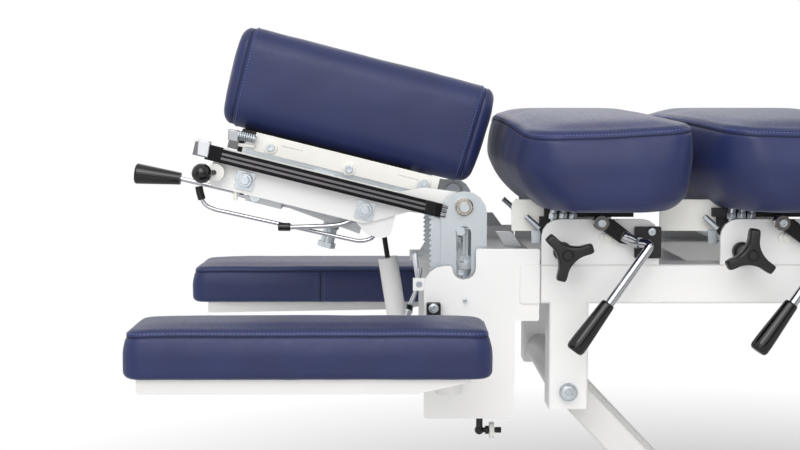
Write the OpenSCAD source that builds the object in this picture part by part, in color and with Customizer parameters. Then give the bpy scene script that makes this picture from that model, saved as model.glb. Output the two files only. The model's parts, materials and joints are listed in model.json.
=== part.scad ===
// A height-adjustable chiropractic table with drop sections, in millimetres.
// The origin lies on the floor under the middle of the table. X runs to the foot end, Z runs up.
// The near side, with the tension knobs and cocking levers, faces -Y.

/* [Base] */
// Height of the base tubes above the floor
foot_rise = 30; // [24:1:45]
// Height of the base tubes
base_tube_h = 40; // [34:1:50]
// Width of the base tubes
base_tube_w = 60; // [50:1:70]
// Length of the two cross tubes that stand on the feet
base_cross_len = 640; // [560:5:720]
// Distance of each long base tube from the centre line
base_rail_y = 170; // [168:1:190]
// Place of the cross tube at the head end
base_head_x = -326; // [-380:1:-280]
// Place of the cross tube at the foot end
base_foot_x = 726; // [700:1:760]
// Diameter of a levelling foot
foot_pad_d = 60; // [50:1:70]

/* [Lift] */
// Place of the upper pivot of the head-side lift arms
lift_head_x = -352; // [-356:1:-346]
// Distance between the head-side and the foot-side lift arms
lift_spread = 700; // [660:5:720]
// Length of a lift arm between its pivots
arm_len = 430; // [410:1:450]
// Slope of the lift arms at rest
arm_lean = 46.5; // [44:0.5:50]
// Outer size of a lift arm's square tube
arm_tube = 40; // [36:1:44]
// Distance of a lift arm from the centre line
arm_y = 105; // [95:1:108]
// Outer diameter of the torque tubes that join each pair of arms
torque_d = 42; // [38:1:46]
// Diameter of the pivot bolts
pivot_bolt_d = 16; // [12:1:18]

/* [Actuator] */
// Place of the actuator's pivot on the base
motor_x = 124; // [100:1:150]
// Height of the actuator's pivot above the base tubes
motor_rise = 40; // [36:1:50]
// Outer diameter of the actuator's tube
motor_tube_d = 50; // [46:1:56]
// Diameter of the actuator's rod
rod_d = 28; // [22:1:30]
// Reach of the lever that the actuator pushes
lever_reach = 110; // [105:1:120]

/* [Top frame] */
// Size of the square rails and posts
rail_w = 50; // [46:1:54]
// Wall of the rails and posts
rail_wall = 3; // [2:0.5:4]
// Distance of the rails' outer faces from the centre line
rail_face_y = 181; // [180:1:190]
// Place of the rails' head end
rail_head_x = -388; // [-392:1:-384]
// Place of the rails' foot end
rail_foot_x = 864; // [850:1:900]
// Height of the rails' underside above the upper lift pivots
post_rise = 114; // [108:1:120]
// Length of a post below the lift pivot
post_tail = 22; // [20:1:30]

/* [Sections] */
// Height of the section plates above the rails
plate_rise = 58; // [56:1:64]
// Length of a section plate
plate_len = 149; // [145:1:155]
// Distance from one drop section to the next
section_pitch = 227; // [224:1:230]
// Thickness of a section plate
plate_t = 5; // [4:0.5:6]
// Gap between the section plates and the cushions
cushion_gap = 13; // [12:0.5:15]
// Half the width of the body cushions
cushion_half_w = 270; // [260:1:285]
// Height of a body cushion's side up to its seam
cushion_side_h = 92; // [84:1:100]
// Rise of the cushion tops from the seam at the side to the middle
cushion_crown = 34; // [26:1:42]

/* [Casing] */
// Distance of the casing plates' outer faces from the centre line
casing_face_y = 178; // [176:1:179]
// Thickness of a casing plate
casing_t = 4; // [3:0.5:4]
// Depth of the casing below the rails
casing_drop = 149; // [140:1:160]

/* [Head section] */
// Distance of the tilt pivot ahead of the rails
tilt_ahead = 98; // [96:1:100]
// Height of the tilt pivot above the rails' underside
tilt_rise = 123; // [121:1:126]
// Slope of the head section at rest, head end up
head_lean = 14; // [12:0.5:16]
// Length of the head cushions
head_len = 322; // [310:1:330]
// Height of the head cushions
head_tall = 136; // [125:1:140]
// Half the width over both head cushions
head_half_w = 140; // [138:1:146]
// Gap between the two head cushions
face_gap = 50; // [40:1:60]
// Length of the slide rails
slide_len = 267; // [255:1:270]

/* [Armrests] */
// Length of an armrest cushion
armrest_len = 411; // [400:1:420]
// Width of an armrest cushion
armrest_w = 120; // [110:1:130]
// Thickness of an armrest cushion
armrest_h = 59; // [54:1:64]
// Distance of the armrest posts from the centre line
armrest_post_y = 206; // [204:1:209]
// Drop of the armrest cushions' undersides below the rails
armrest_drop = 58; // [56:1:62]
// Inward swing of the far armrest
far_swing = 6; // [0:1:6]

/* [Controls] */
// Reach of a tension knob's lobes
knob_reach = 33; // [28:1:34]
// Diameter of a cocking lever's grip
grip_d = 20; // [18:1:22]
// Length of a cocking lever's grip
grip_len = 68; // [60:1:76]

/* [Hidden] */

// Sides of a full round, and how far a cut runs past what it cuts
$fn = 48;
cut = 2;
// Clearance on the diameter of a turning or sliding fit, and between pieces that only lie close
fit = 0.1;
skin = 0.3;
// Steps of a rounded corner
corner_steps = 4;
// Radius of the small corners
edge_r = 3;

// Heights and places that follow from the sizes above
base_top_z = foot_rise + base_tube_h;
base_wall = 3;
pivot_rise = 15.5;
base_pivot_z = base_top_z + pivot_rise;
lift_pivot_z = base_pivot_z + arm_len * sin(arm_lean);
rail_z0 = lift_pivot_z + post_rise;
rail_z1 = rail_z0 + rail_w;
plate_top_z = rail_z1 + plate_rise;
cushion_z = plate_top_z + cushion_gap;
arm_run = arm_len * cos(arm_lean);
lift_foot_x = lift_head_x + lift_spread;
base_pivots_x = [lift_head_x + arm_run, lift_foot_x + arm_run];
top_pivots_x = [lift_head_x, lift_foot_x];
rail_inner_y = rail_face_y - rail_w;
plate_inner_y = rail_face_y - plate_t;
plates_x = [for (i = [0:4]) rail_head_x + section_pitch * i];
casing_inner_y = casing_face_y - casing_t;
tilt_x = rail_head_x - tilt_ahead;
tilt_z = rail_z0 + tilt_rise;

// Points of an arc about a centre
function arc(c, r, a0, a1, steps) =
    [for (i = [0:steps]) let (a = a0 + (a1 - a0) * i / steps) c + r * [cos(a), sin(a)]];
function unit(v) = v / norm(v);
// The arc that rounds the corner at b, between a and c, with radius r
function corner(a, b, c, r) =
    let (u = unit(a - b), v = unit(c - b), half = acos(u * v) / 2,
         mid = b + unit(u + v) * r / sin(half), turn = 180 - 2 * half,
         way = u.x * v.y - u.y * v.x > 0 ? -1 : 1, first = b + u * r / tan(half) - mid,
         start = atan2(first.y, first.x))
    arc(mid, r, start, start + way * turn, corner_steps);
// A closed outline whose corners are rounded, each with its own radius, 0 for a sharp one
function rounded(p, r) =
    [for (i = [0:len(p) - 1])
        let (a = p[(i + len(p) - 1) % len(p)], c = p[(i + 1) % len(p)], ri = is_list(r) ? r[i] : r)
        each (ri == 0 ? [p[i]] : corner(a, p[i], c, ri))];
function box_outline(w, h) = [[-w / 2, -h / 2], [w / 2, -h / 2], [w / 2, h / 2], [-w / 2, h / 2]];

// A plate drawn in the XZ plane that fills y0 to y0 + t
module xz_plate(y0, t) {
    translate([0, y0 + t, 0]) rotate([90, 0, 0]) linear_extrude(t) children();
}
// A plate and its mirror image on the far side, near faces at -y and far faces at +y
module both_plates(face_y, t) {
    xz_plate(-face_y, t) children();
    xz_plate(face_y - t, t) children();
}
module both_sides() {
    children();
    mirror([0, 1, 0]) children();
}
// A round bar along Y
module bar_y(x, z, r, y0, y1) {
    translate([x, y1, z]) rotate([90, 0, 0]) cylinder(h = y1 - y0, r = r);
}
// A round bar between two points
module bar(p, q, r) {
    d = q - p;
    translate(p) rotate([0, acos(d.z / norm(d)), atan2(d.y, d.x)]) cylinder(h = norm(d), r = r);
}
// A bend between two bars, a little wider than they are
bend_share = 1.06;
module bend(p, r) {
    translate(p) sphere(r = r * bend_share);
}
module box(x0, x1, y0, y1, z0, z1) {
    translate([x0, y0, z0]) cube([x1 - x0, y1 - y0, z1 - z0]);
}
// Square tube along X, Y or Z, solid or its hollow
tube_round = 4;
module tube_x(x0, x1, y, z, w, h) {
    translate([x0, y, z]) rotate([90, 0, 90]) linear_extrude(x1 - x0)
        polygon(rounded(box_outline(w, h), tube_round));
}
module tube_y(y0, y1, x, z, w, h) {
    translate([x, y1, z]) rotate([90, 0, 0]) linear_extrude(y1 - y0)
        polygon(rounded(box_outline(w, h), tube_round));
}
module tube_z(z0, z1, x, y, w, h) {
    translate([x, y, z0]) linear_extrude(z1 - z0) polygon(rounded(box_outline(w, h), tube_round));
}

// Base
bracket_t = 8;
bracket_r = 24;
bracket_w = 56;
bracket_face_y = base_rail_y - base_tube_w / 2;
motor_z = base_top_z + motor_rise;
motor_eye_half = 12;
ear_t = 8;
ear_r = 16;
motor_pin_r = 6;
module base_frame() color("white") {
    mid_z = foot_rise + base_tube_h / 2;
    inner_w = base_tube_w - 2 * base_wall;
    inner_h = base_tube_h - 2 * base_wall;
    difference() {
        union() {
            for (x = [base_head_x, base_foot_x])
                tube_y(-base_cross_len / 2, base_cross_len / 2, x, mid_z, base_tube_w, base_tube_h);
            for (side = [-1, 1])
                tube_x(base_head_x, base_foot_x, side * base_rail_y, mid_z, base_tube_w, base_tube_h);
            tube_y(-base_rail_y, base_rail_y, motor_x, mid_z, base_tube_w, base_tube_h);
        }
        for (x = [base_head_x, base_foot_x])
            tube_y(base_wall - base_cross_len / 2, base_cross_len / 2 - base_wall, x, mid_z,
                   inner_w, inner_h);
        for (side = [-1, 1])
            tube_x(base_head_x, base_foot_x, side * base_rail_y, mid_z, inner_w, inner_h);
        tube_y(-base_rail_y, base_rail_y, motor_x, mid_z, inner_w, inner_h);
    }
    both_sides() for (x = base_pivots_x)
        xz_plate(-bracket_face_y, bracket_t) difference() {
            union() {
                translate([x - bracket_w / 2, foot_rise]) square([bracket_w, base_tube_h]);
                translate([x, base_pivot_z]) circle(r = bracket_r);
                translate([x - bracket_r, base_top_z]) square([2 * bracket_r, pivot_rise]);
            }
            translate([x, base_pivot_z]) circle(d = pivot_bolt_d + fit);
        }
    both_plates(motor_eye_half + skin + ear_t, ear_t) difference() {
        union() {
            translate([motor_x, motor_z]) circle(r = ear_r);
            translate([motor_x - ear_r, base_top_z]) square([2 * ear_r, motor_rise]);
        }
        translate([motor_x, motor_z]) circle(r = motor_pin_r + fit / 2);
    }
}

// Levelling feet: a rubber pad, a stem and a lock nut under each end of the cross tubes
foot_pad_h = 12;
foot_stem_r = 6;
foot_inset = 40;
nut_r = 10;
nut_h = 7;
module levelling_feet() color("dimgray") {
    for (x = [base_head_x, base_foot_x], side = [-1, 1])
        translate([x, side * (base_cross_len / 2 - foot_inset), 0]) {
            cylinder(h = foot_pad_h, d = foot_pad_d);
            translate([0, 0, foot_pad_h]) cylinder(h = foot_rise - foot_pad_h, r = foot_stem_r);
            translate([0, 0, foot_rise - nut_h]) cylinder(h = nut_h, r = nut_r, $fn = 6);
        }
}

// Pivot bolts of the lift: washer, hex head and shank
bolt_reach = 26;
washer_t = 2;
head_t = 8;
module pivot_bolt(x, z, face_y, reach) {
    bar_y(x, z, pivot_bolt_d / 2, -face_y, reach - face_y);
    bar_y(x, z, pivot_bolt_d * 0.75, -face_y - washer_t, -face_y);
    translate([x, -face_y - washer_t, z]) rotate([90, 0, 0])
        cylinder(h = head_t, r = pivot_bolt_d * 0.65, $fn = 6);
}
torque_end_y = rail_inner_y - skin;
module base_pivot_bolts() color("silver") {
    both_sides() for (x = base_pivots_x)
        pivot_bolt(x, base_pivot_z, bracket_face_y, bracket_face_y - torque_end_y + bolt_reach);
    motor_pin_y = motor_eye_half + skin + ear_t + washer_t;
    bar_y(motor_x, motor_z, motor_pin_r, -motor_pin_y, motor_pin_y);
}

// Lift arms: two square tubes welded to a torque tube at each end
torque_wall = 4;
arm_wall = 3;
plug_len = 30;
module along_arm(base_x) {
    translate([base_x, 0, base_pivot_z]) rotate([0, arm_lean - 180, 0]) children();
}
module lift_arms(base_x) {
    along_arm(base_x) difference() {
        union() {
            for (x = [0, arm_len]) bar_y(x, 0, torque_d / 2, -torque_end_y, torque_end_y);
            for (side = [-1, 1]) tube_x(0, arm_len, side * arm_y, 0, arm_tube, arm_tube);
        }
        for (x = [0, arm_len]) {
            bar_y(x, 0, torque_d / 2 - torque_wall, plug_len - torque_end_y, torque_end_y - plug_len);
            bar_y(x, 0, (pivot_bolt_d + fit) / 2, -torque_end_y - cut, torque_end_y + cut);
        }
        for (side = [-1, 1])
            tube_x(torque_d / 2, arm_len - torque_d / 2, side * arm_y, 0,
                   arm_tube - 2 * arm_wall, arm_tube - 2 * arm_wall);
    }
}
module head_lift_arms() color("white") lift_arms(base_pivots_x[0]);

// The lever on the foot-side arms that the actuator pushes
lever_lean = 95;
lever_tip = [base_pivots_x[1] + lever_reach * cos(lever_lean), base_pivot_z + lever_reach * sin(lever_lean)];
lever_tip_r = 24;
lever_gap = 16;
lever_t = 8;
module foot_lift_arms() color("white") {
    lift_arms(base_pivots_x[1]);
    across = [sin(lever_lean), -cos(lever_lean)];
    root = [base_pivots_x[1], base_pivot_z];
    both_plates(lever_gap + lever_t, lever_t) difference() {
        union() {
            polygon([root + across * torque_d / 2, lever_tip + across * lever_tip_r,
                     lever_tip - across * lever_tip_r, root - across * torque_d / 2]);
            translate(lever_tip) circle(r = lever_tip_r);
        }
        translate(root) circle(r = torque_d / 2 - torque_wall);
    }
}

// Lift actuator
motor_pivot = [motor_x, motor_z];
actuator_len = norm(lever_tip - motor_pivot);
actuator_lean = atan2(lever_tip.y - motor_z, lever_tip.x - motor_x);
tube_start = 30;
tube_end_share = 0.64;
tube_end = actuator_len * tube_end_share;
motor_r = 30;
motor_len = 130;
gear_h = 56;
rod_start_share = 0.3;
module along_actuator() {
    translate([motor_x, 0, motor_z]) rotate([0, -actuator_lean, 0]) children();
}
module actuator_housing() color("gainsboro") along_actuator() {
    gear_len = motor_r * 1.5;
    motor_side = motor_tube_d / 2 + motor_r;
    difference() {
        union() {
            bar_y(0, 0, ear_r, -motor_eye_half, motor_eye_half);
            box(0, tube_start, -motor_eye_half, motor_eye_half, -motor_eye_half, motor_eye_half);
            tube_x(tube_start, tube_start + gear_len, motor_r, 0, motor_tube_d + 2 * motor_r, gear_h);
            translate([tube_start, 0, 0]) rotate([0, 90, 0])
                cylinder(h = tube_end - tube_start, d = motor_tube_d);
            translate([tube_start, motor_side, 0]) rotate([0, 90, 0])
                cylinder(h = motor_len, r = motor_r - cut);
        }
        bar_y(0, 0, motor_pin_r + fit / 2, -motor_eye_half - cut, motor_eye_half + cut);
        translate([tube_start + gear_len, 0, 0]) rotate([0, 90, 0])
            cylinder(h = tube_end, d = rod_d + fit);
    }
}
rod_eye_r = 16;
module actuator_rod() color("silver") along_actuator() {
    rod_start = actuator_len * rod_start_share;
    translate([rod_start, 0, 0]) rotate([0, 90, 0]) cylinder(h = actuator_len - rod_start, d = rod_d);
    bar_y(actuator_len, 0, rod_eye_r, skin - lever_gap, lever_gap - skin);
}

// Top frame: rails, posts, cross tubes and the head cross box
head_box_len = 60;
cross_w = 40;
cross_x = [for (i = [0:2]) plates_x[i] + (plate_len + section_pitch) / 2];
post_z0 = lift_pivot_z - post_tail;
module rail_shapes(grow, ends) {
    mid_z = rail_z0 + rail_w / 2;
    mid_y = rail_face_y - rail_w / 2;
    both_sides() {
        tube_x(rail_head_x + ends, rail_foot_x - ends, mid_y, mid_z, rail_w - grow, rail_w - grow);
        for (x = top_pivots_x)
            tube_z(post_z0 - ends, rail_z0 + rail_wall - ends, x, mid_y, rail_w - grow, rail_w - grow);
    }
}
module top_frame() color("white") {
    mid_z = rail_z0 + rail_w / 2;
    difference() {
        union() {
            rail_shapes(0, 0);
            for (x = concat(cross_x, [rail_foot_x - rail_w]))
                tube_y(-rail_inner_y - rail_wall, rail_inner_y + rail_wall, x, mid_z, cross_w, cross_w);
            box(rail_head_x - head_box_len, rail_head_x + rail_wall, -casing_inner_y, casing_inner_y,
                rail_z0, rail_z1);
        }
        rail_shapes(2 * rail_wall, rail_wall);
        box(rail_head_x - head_box_len + rail_wall, rail_head_x, rail_wall - casing_inner_y,
            casing_inner_y - rail_wall, rail_z0 + rail_wall, rail_z1 - rail_wall);
        for (x = concat(cross_x, [rail_foot_x - rail_w]))
            tube_y(-rail_inner_y, rail_inner_y, x, mid_z, cross_w - 2 * rail_wall, cross_w - 2 * rail_wall);
        for (x = top_pivots_x) both_sides()
            bar_y(x, lift_pivot_z, (pivot_bolt_d + fit) / 2, -rail_face_y - cut, cut - rail_inner_y);
    }
}
module lift_pivot_bolts() color("silver") {
    both_sides() for (x = top_pivots_x)
        pivot_bolt(x, lift_pivot_z, rail_face_y, rail_w + bolt_reach);
}

// Section plates: an upright plate on each rail under every section, with a plug in the near ones
plate_round = 22;
plug_x = 79;
plug_z = 34;
plug_r = 6;
plug_t = 2;
module section_plates() color("white") {
    for (x = plates_x) {
        both_plates(rail_face_y, plate_t)
            polygon(rounded([[x, rail_z1], [x + plate_len, rail_z1], [x + plate_len, plate_top_z],
                             [x, plate_top_z]], [0, 0, plate_round, plate_round]));
        bar_y(x + plug_x, rail_z1 + plug_z, plug_r, -rail_face_y - plug_t, -rail_face_y);
    }
}

// Casing plates beside the riser, with a notch for the tilt bolt and ears for the release shaft
casing_left = -51;
casing_step_x = 65;
casing_step_z = -22.5;
casing_top = 20;
notch_half = 15;
notch_depth = 19;
lobe_r = 26;
notch_r = 14;
ear_depth = 6;
release_at = [tilt_x - 57, tilt_z - 99];
release_r = 4;
panel_w = 25;
panel_t = 2;
module casing_outline() {
    z0 = rail_z0 - casing_drop;
    right = rail_head_x - plug_t;
    top = rail_z1 + casing_top;
    polygon(rounded([
        [tilt_x + casing_left, z0], [tilt_x + casing_step_x, z0],
        [tilt_x + casing_step_x, rail_z0 + casing_step_z], [right, rail_z0 + casing_step_z],
        [right, top], [tilt_x + notch_half, top],
        [tilt_x + notch_half, rail_z1 - notch_depth], [tilt_x - notch_half, rail_z1 - notch_depth],
        [tilt_x - notch_half, rail_z1 - plug_t], [tilt_x + casing_left, rail_z1 - plug_t]],
        [edge_r, edge_r, 0, edge_r, edge_r, edge_r, notch_r, notch_r, edge_r, lobe_r]));
}
module casing_plates() color("white") {
    both_plates(casing_face_y, casing_t) casing_outline();
    both_sides() {
        xz_plate(-casing_face_y - panel_t, panel_t)
            translate([rail_head_x - panel_t - panel_w / 2, rail_z0 + rail_w / 2])
                polygon(rounded(box_outline(panel_w, rail_w), tube_round));
        xz_plate(-casing_inner_y, ear_depth) difference() {
            translate([release_at.x - 2 * release_r, release_at.y - 2 * release_r])
                square([8 * release_r, 4 * release_r]);
            translate(release_at) circle(r = release_r + fit / 2);
        }
    }
}

// Guides of the riser: two upright rods between a bottom plate and a top plate
guide_x = tilt_x + 7;
guide_y = 125;
guide_r = 6;
guide_top = 32;
guide_plate_y = 145;
floor_t = 8;
module riser_guides() color("silver") {
    z0 = rail_z0 - casing_drop;
    box(guide_x - 2 * guide_r, tilt_x + casing_step_x - floor_t, -casing_inner_y, casing_inner_y,
        z0, z0 + floor_t);
    box(guide_x - 2 * guide_r, rail_head_x - head_box_len, -guide_plate_y, guide_plate_y,
        rail_z1 - plug_t - floor_t, rail_z1 - plug_t);
    for (side = [-1, 1]) translate([guide_x, side * guide_y, z0]) {
        cylinder(h = tilt_z - guide_top - z0, r = guide_r);
        translate([0, 0, rail_z1 - plug_t - z0]) cylinder(h = floor_t, r = 1.6 * guide_r, $fn = 6);
    }
}

// Places of the controls on each near section plate, from the plate's head end and the rail's top
lever_at = [120, 32];
knob_at = [25, 20];
control_pin_r = 5;
lever_face = 9;
lever_hub_len = 22;
knob_face = 41;
knob_t = 16;
boss_r = 9;
// Black blocks: a catch behind each lever hub, the release block and two rail caps
catch_w = 33;
catch_h = 40;
catch_t = 8;
catch_rise = 9;
block_size = 18;
block_t = 12;
block_at = [tilt_x - 48, rail_z0 - 16];
module catch_blocks() color("black") {
    for (i = [0:2]) xz_plate(-rail_face_y - catch_t, catch_t) difference() {
        translate([plates_x[i] + lever_at.x - edge_r + catch_w / 2, rail_z1 + catch_rise + catch_h / 2])
            polygon(rounded(box_outline(catch_w, catch_h), panel_t));
        translate([plates_x[i] + lever_at.x, rail_z1 + lever_at.y]) circle(r = control_pin_r + fit / 2);
    }
    xz_plate(-casing_face_y - block_t, block_t) translate([block_at.x, block_at.y])
        translate([block_size / 2, block_size / 2])
            polygon(rounded(box_outline(block_size, block_size), panel_t));
    both_sides() box(rail_foot_x, rail_foot_x + rail_wall, -rail_face_y, -rail_inner_y, rail_z0, rail_z1);
}

// Ball joint and tab under the casing
ball_at = [tilt_x + 28, -100];
ball_r = 7;
ball_drop = 34;
tab_w = 9;
tab_t = 4;
tab_x = 18;
module ball_link() color("dimgray") {
    z1 = rail_z0 - casing_drop;
    translate([ball_at.x, ball_at.y, z1 - panel_t]) cylinder(h = panel_t, r = ball_r);
    translate([ball_at.x, ball_at.y, z1 - ball_drop]) cylinder(h = ball_drop, r = ball_r / 2);
    translate([ball_at.x, ball_at.y, z1 - ball_drop]) sphere(r = ball_r);
    bar([ball_at.x, ball_at.y, z1 - ball_drop], [ball_at.x + tab_x + 2 * tab_w, ball_at.y, z1 - ball_drop],
        ball_r / 2);
    box(ball_at.x + tab_x, ball_at.x + tab_x + tab_t, ball_at.y - tab_w, ball_at.y + tab_w,
        z1 - ball_drop - tab_w, z1);
}

// Drop adjusters: a cross bar inside each pair of section plates, with a sprung pin at the near side
adjuster_y = 140;
adjuster_bar = 16;
adjuster_z = 30;
adjuster_x = 26;
adjuster_lean = 33;
adjuster_reach = [24, 50, 50];
adjuster_sleeve = 36;
module drop_adjusters() color("lightsteelblue") for (i = [0:2]) {
    x = plates_x[i] + adjuster_x;
    z = rail_z1 + adjuster_z;
    tube_y(-plate_inner_y, plate_inner_y, x, z, adjuster_bar, adjuster_bar);
    way = [-cos(adjuster_lean), 0, sin(adjuster_lean)];
    from = [x, -adjuster_y, z];
    bar(from, from + adjuster_sleeve * 0.8 * way, adjuster_bar / 2);
    bar(from, from + (adjuster_sleeve + adjuster_reach[i] - adjuster_bar) * way, adjuster_bar / 4);
}

// Pins fixed to the section plates: drop hinge pins inside, lever pins and knob studs outside
hinge_x = 10;
hinge_drop = 13;
hinge_r = 5;
lug_y = 158;
lug_t = 6;
hub_cap = 8;
lever_pin_y = rail_face_y + lever_face + lever_hub_len - hub_cap;
knob_pin_y = rail_face_y + knob_face + knob_t - panel_t;
module control_pins() color("silver") for (i = [0:2]) {
    both_sides()
        bar_y(plates_x[i] + hinge_x, plate_top_z - hinge_drop, hinge_r, -plate_inner_y, lug_t - lug_y);
    bar_y(plates_x[i] + lever_at.x, rail_z1 + lever_at.y, control_pin_r, -lever_pin_y, -rail_face_y);
    bar_y(plates_x[i] + knob_at.x, rail_z1 + knob_at.y, control_pin_r, -knob_pin_y, -rail_face_y);
}

// A padded form on a rectangular plan: rings of points climb from the base to the crown.
// Each ring is [inset along X, inset along Y, share of the side height, share of the puff]; the insets
// are shares of the form's edge length.
plan_steps = 6;
edge_steps = 5;
function plan_ring(x0, x1, y0, y1, r) =
    let (corners = [[x1 - r, y0 + r, -90], [x1 - r, y1 - r, 0], [x0 + r, y1 - r, 90], [x0 + r, y0 + r, 180]])
    [for (i = [0:3])
        let (c = corners[i], d = corners[(i + 1) % 4],
             end = [c.x, c.y] + r * [cos(c.z + 90), sin(c.z + 90)],
             next = [d.x, d.y] + r * [cos(d.z), sin(d.z)])
        each concat(arc([c.x, c.y], r, c.z, c.z + 90, plan_steps),
                    [for (k = [1:edge_steps - 1]) end + (next - end) * k / edge_steps])];
// The leading end may also stand in below, by lead at the base, where that's more than the ring's inset
lead_share = 0.587;
lead_power = 1.35;
function lead_in(lead, level) = lead * pow(max(0, 1 - level / lead_share), lead_power);
// The leading and trailing ends bow by bow0 and bow1 from the middle to the sides
function bowed(p, x0, x1, y0, y1, bow0, bow1) =
    let (s = (p.x - x0) / (x1 - x0), t = (2 * p.y - y0 - y1) / (y1 - y0))
    [p.x + ((1 - s) * bow0 + s * bow1) * t * t, p.y];
module padded(size_x, size_y, r, bows, z0, side, rise, slope, puff, edge, ring_shares, lead = 0) {
    x0 = size_x[0];
    x1 = size_x[1];
    y0 = size_y[0];
    y1 = size_y[1];
    count = 4 * (plan_steps + edge_steps);
    layers = [for (g = ring_shares)
        let (in_x = g[0] * edge, in_y = g[1] * edge, ring_r = max(r - min(in_x, in_y) * 0.8, r * 0.2),
             more = max(0, lead_in(lead, g[2]) - in_x))
        [for (p = plan_ring(x0 + in_x, x1 - in_x, y0 + in_y, y1 - in_y, ring_r))
            let (q = bowed(p, x0, x1, y0, y1, bows[0], bows[1]), t = (2 * q.y - y0 - y1) / (y1 - y0))
            [q.x + more * pow((x1 - p.x) / (x1 - x0), 3), q.y,
             z0 + g[2] * (side + rise * (1 - t * t) + slope * t) + g[3] * puff]]];
    middle = [(x0 + x1) / 2, (y0 + y1) / 2];
    points = concat([for (l = layers) each l],
                    [[middle.x, middle.y, z0], [middle.x, middle.y, z0 + side + rise + puff]]);
    last = len(ring_shares) - 1;
    polyhedron(points = points, faces = concat(
        [for (k = [0:last - 1], i = [0:count - 1])
            let (a = k * count + i, b = k * count + (i + 1) % count)
            each [[a, a + count, b], [b, a + count, b + count]]],
        [for (i = [0:count - 1]) [i, (i + 1) % count, len(points) - 2]],
        [for (i = [0:count - 1]) [last * count + (i + 1) % count, last * count + i, len(points) - 1]]),
        convexity = 4);
}

// Body cushions. Their drop boards hang on the hinge pins by two lugs each.
body_edge = 60;
body_ring_shares = [[0.5, 0.43, 0, 0], [0.23, 0.2, 0.06, 0], [0.07, 0.07, 0.2, 0], [0, 0, 0.4, 0],
                    [0.02, 0.03, 0.8, 0], [0.08, 0.1, 0.965, 0], [0.15, 0.15, 1, 0], [0.3, 0.33, 1, 0.45],
                    [0.7, 1, 1, 0.8], [1.17, 2, 1, 0.96]];
cushion_round = 40;
crown_share = 0.6;
board_t = 11;
board_half_w = 170;
board_in = 5;
board_out = 34;
// Ends of each body cushion at the centre line, from the head end of its section plate, and how far
// its ends bow towards the foot at the sides
chest_over = [-53, 152];
chest_bows = [22, 20];
chest_lead = 53;
lumbar_over = [-65, 173];
lumbar_bows = [58, 0];
lumbar_lead = 53;
pelvic_over = [-42, 232];
pelvic_bows = [0, 0];
pelvic_lead = 36;
leg_over = [17, 621];
leg_bows = [0, -30];
leg_lead = 36;
function ends_of(i, over) = [plates_x[i] + over[0], plates_x[i] + over[1]];
chest_x = ends_of(0, chest_over);
lumbar_x = ends_of(1, lumbar_over);
pelvic_x = ends_of(2, pelvic_over);
leg_x = ends_of(3, leg_over);
module body_cushion(ends, bows, lead) {
    color("midnightblue")
        padded(ends, [-cushion_half_w, cushion_half_w], cushion_round, bows, cushion_z, cushion_side_h,
               cushion_crown * crown_share, 0, cushion_crown * (1 - crown_share), body_edge,
               body_ring_shares, lead);
}
module drop_board(i, ends, lead) color("dimgray") {
    x = plates_x[i] + hinge_x;
    lug_r = hinge_drop - panel_t;
    hinge_z = plate_top_z - hinge_drop;
    box(ends[0] + lead + board_in, ends[1] - board_out, -board_half_w, board_half_w,
        cushion_z - board_t, cushion_z);
    both_sides() xz_plate(-lug_y - lug_t, lug_t) difference() {
        union() {
            translate([x, hinge_z]) circle(r = lug_r);
            translate([x - lug_r, hinge_z]) square([2 * lug_r, cushion_z - board_t - hinge_z]);
        }
        translate([x, hinge_z]) circle(r = hinge_r + fit / 2);
    }
}
module chest_board() drop_board(0, chest_x, chest_lead);
module chest_cushion() body_cushion(chest_x, chest_bows, chest_lead);
module lumbar_board() drop_board(1, lumbar_x, lumbar_lead);
module lumbar_cushion() body_cushion(lumbar_x, lumbar_bows, lumbar_lead);
module pelvic_board() drop_board(2, pelvic_x, pelvic_lead);
module pelvic_cushion() body_cushion(pelvic_x, pelvic_bows, pelvic_lead);
module leg_board() color("dimgray")
    box(leg_x[0] + leg_lead, leg_x[1] - leg_lead, -rail_face_y - leg_lead, rail_face_y + leg_lead,
        plate_top_z, cushion_z);
module leg_cushion() body_cushion(leg_x, leg_bows, leg_lead);

// Cocking levers: hub, cam arm with a roller, and a bent rod that carries the grip
roller_at = [-48, 22];
roller_r = 10;
roller_len = 9;
arm_w = 12;
lever_rod_r = 6;
bend_at = [13, -33, -7];
grip_way = unit([-55, -8, -68]);
rod_len = 90;
grip_round = 3;
grip_taper = 2;
module lever_place(i) {
    translate([plates_x[i] + lever_at.x, 0, rail_z1 + lever_at.y]) children();
}
module cocking_lever(i) color("silver") lever_place(i) {
    face = -rail_face_y - lever_face;
    hub_face = face - lever_hub_len;
    knee = [bend_at.x, hub_face + bend_at.y / 3, bend_at.z];
    difference() {
        union() {
            bar_y(0, 0, boss_r, hub_face, face);
            xz_plate(face - lug_t, lug_t) polygon([
                [-arm_w / 4, -arm_w / 2], [arm_w / 4, arm_w / 2],
                roller_at + [arm_w / 4, arm_w / 2], roller_at - [arm_w / 4, arm_w / 2]]);
            bar_y(roller_at.x, roller_at.y, roller_r, face - roller_len, face);
            bar([0, hub_face + hub_cap / 2, 0], knee, lever_rod_r);
            bend(knee, lever_rod_r);
            bar(knee, knee + rod_len * grip_way, lever_rod_r);
        }
        bar_y(0, 0, control_pin_r + fit / 2, -lever_pin_y - skin, face + cut);
    }
}
module lever_grip(i) color("black") lever_place(i) {
    start = [bend_at.x, -rail_face_y - lever_face - lever_hub_len + bend_at.y / 3, bend_at.z]
            + rod_len * grip_way;
    edge_x = grip_d / 2 - grip_round;
    translate(start) rotate([0, acos(grip_way.z), atan2(grip_way.y, grip_way.x)]) rotate_extrude()
        polygon(concat([[0, 0]], arc([edge_x, grip_round], grip_round, -90, 0, corner_steps),
                       arc([edge_x + grip_taper, grip_len - grip_round], grip_round, 0, 90, corner_steps),
                       [[0, grip_len]]));
}
module chest_lever() cocking_lever(0);
module chest_grip() lever_grip(0);
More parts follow.
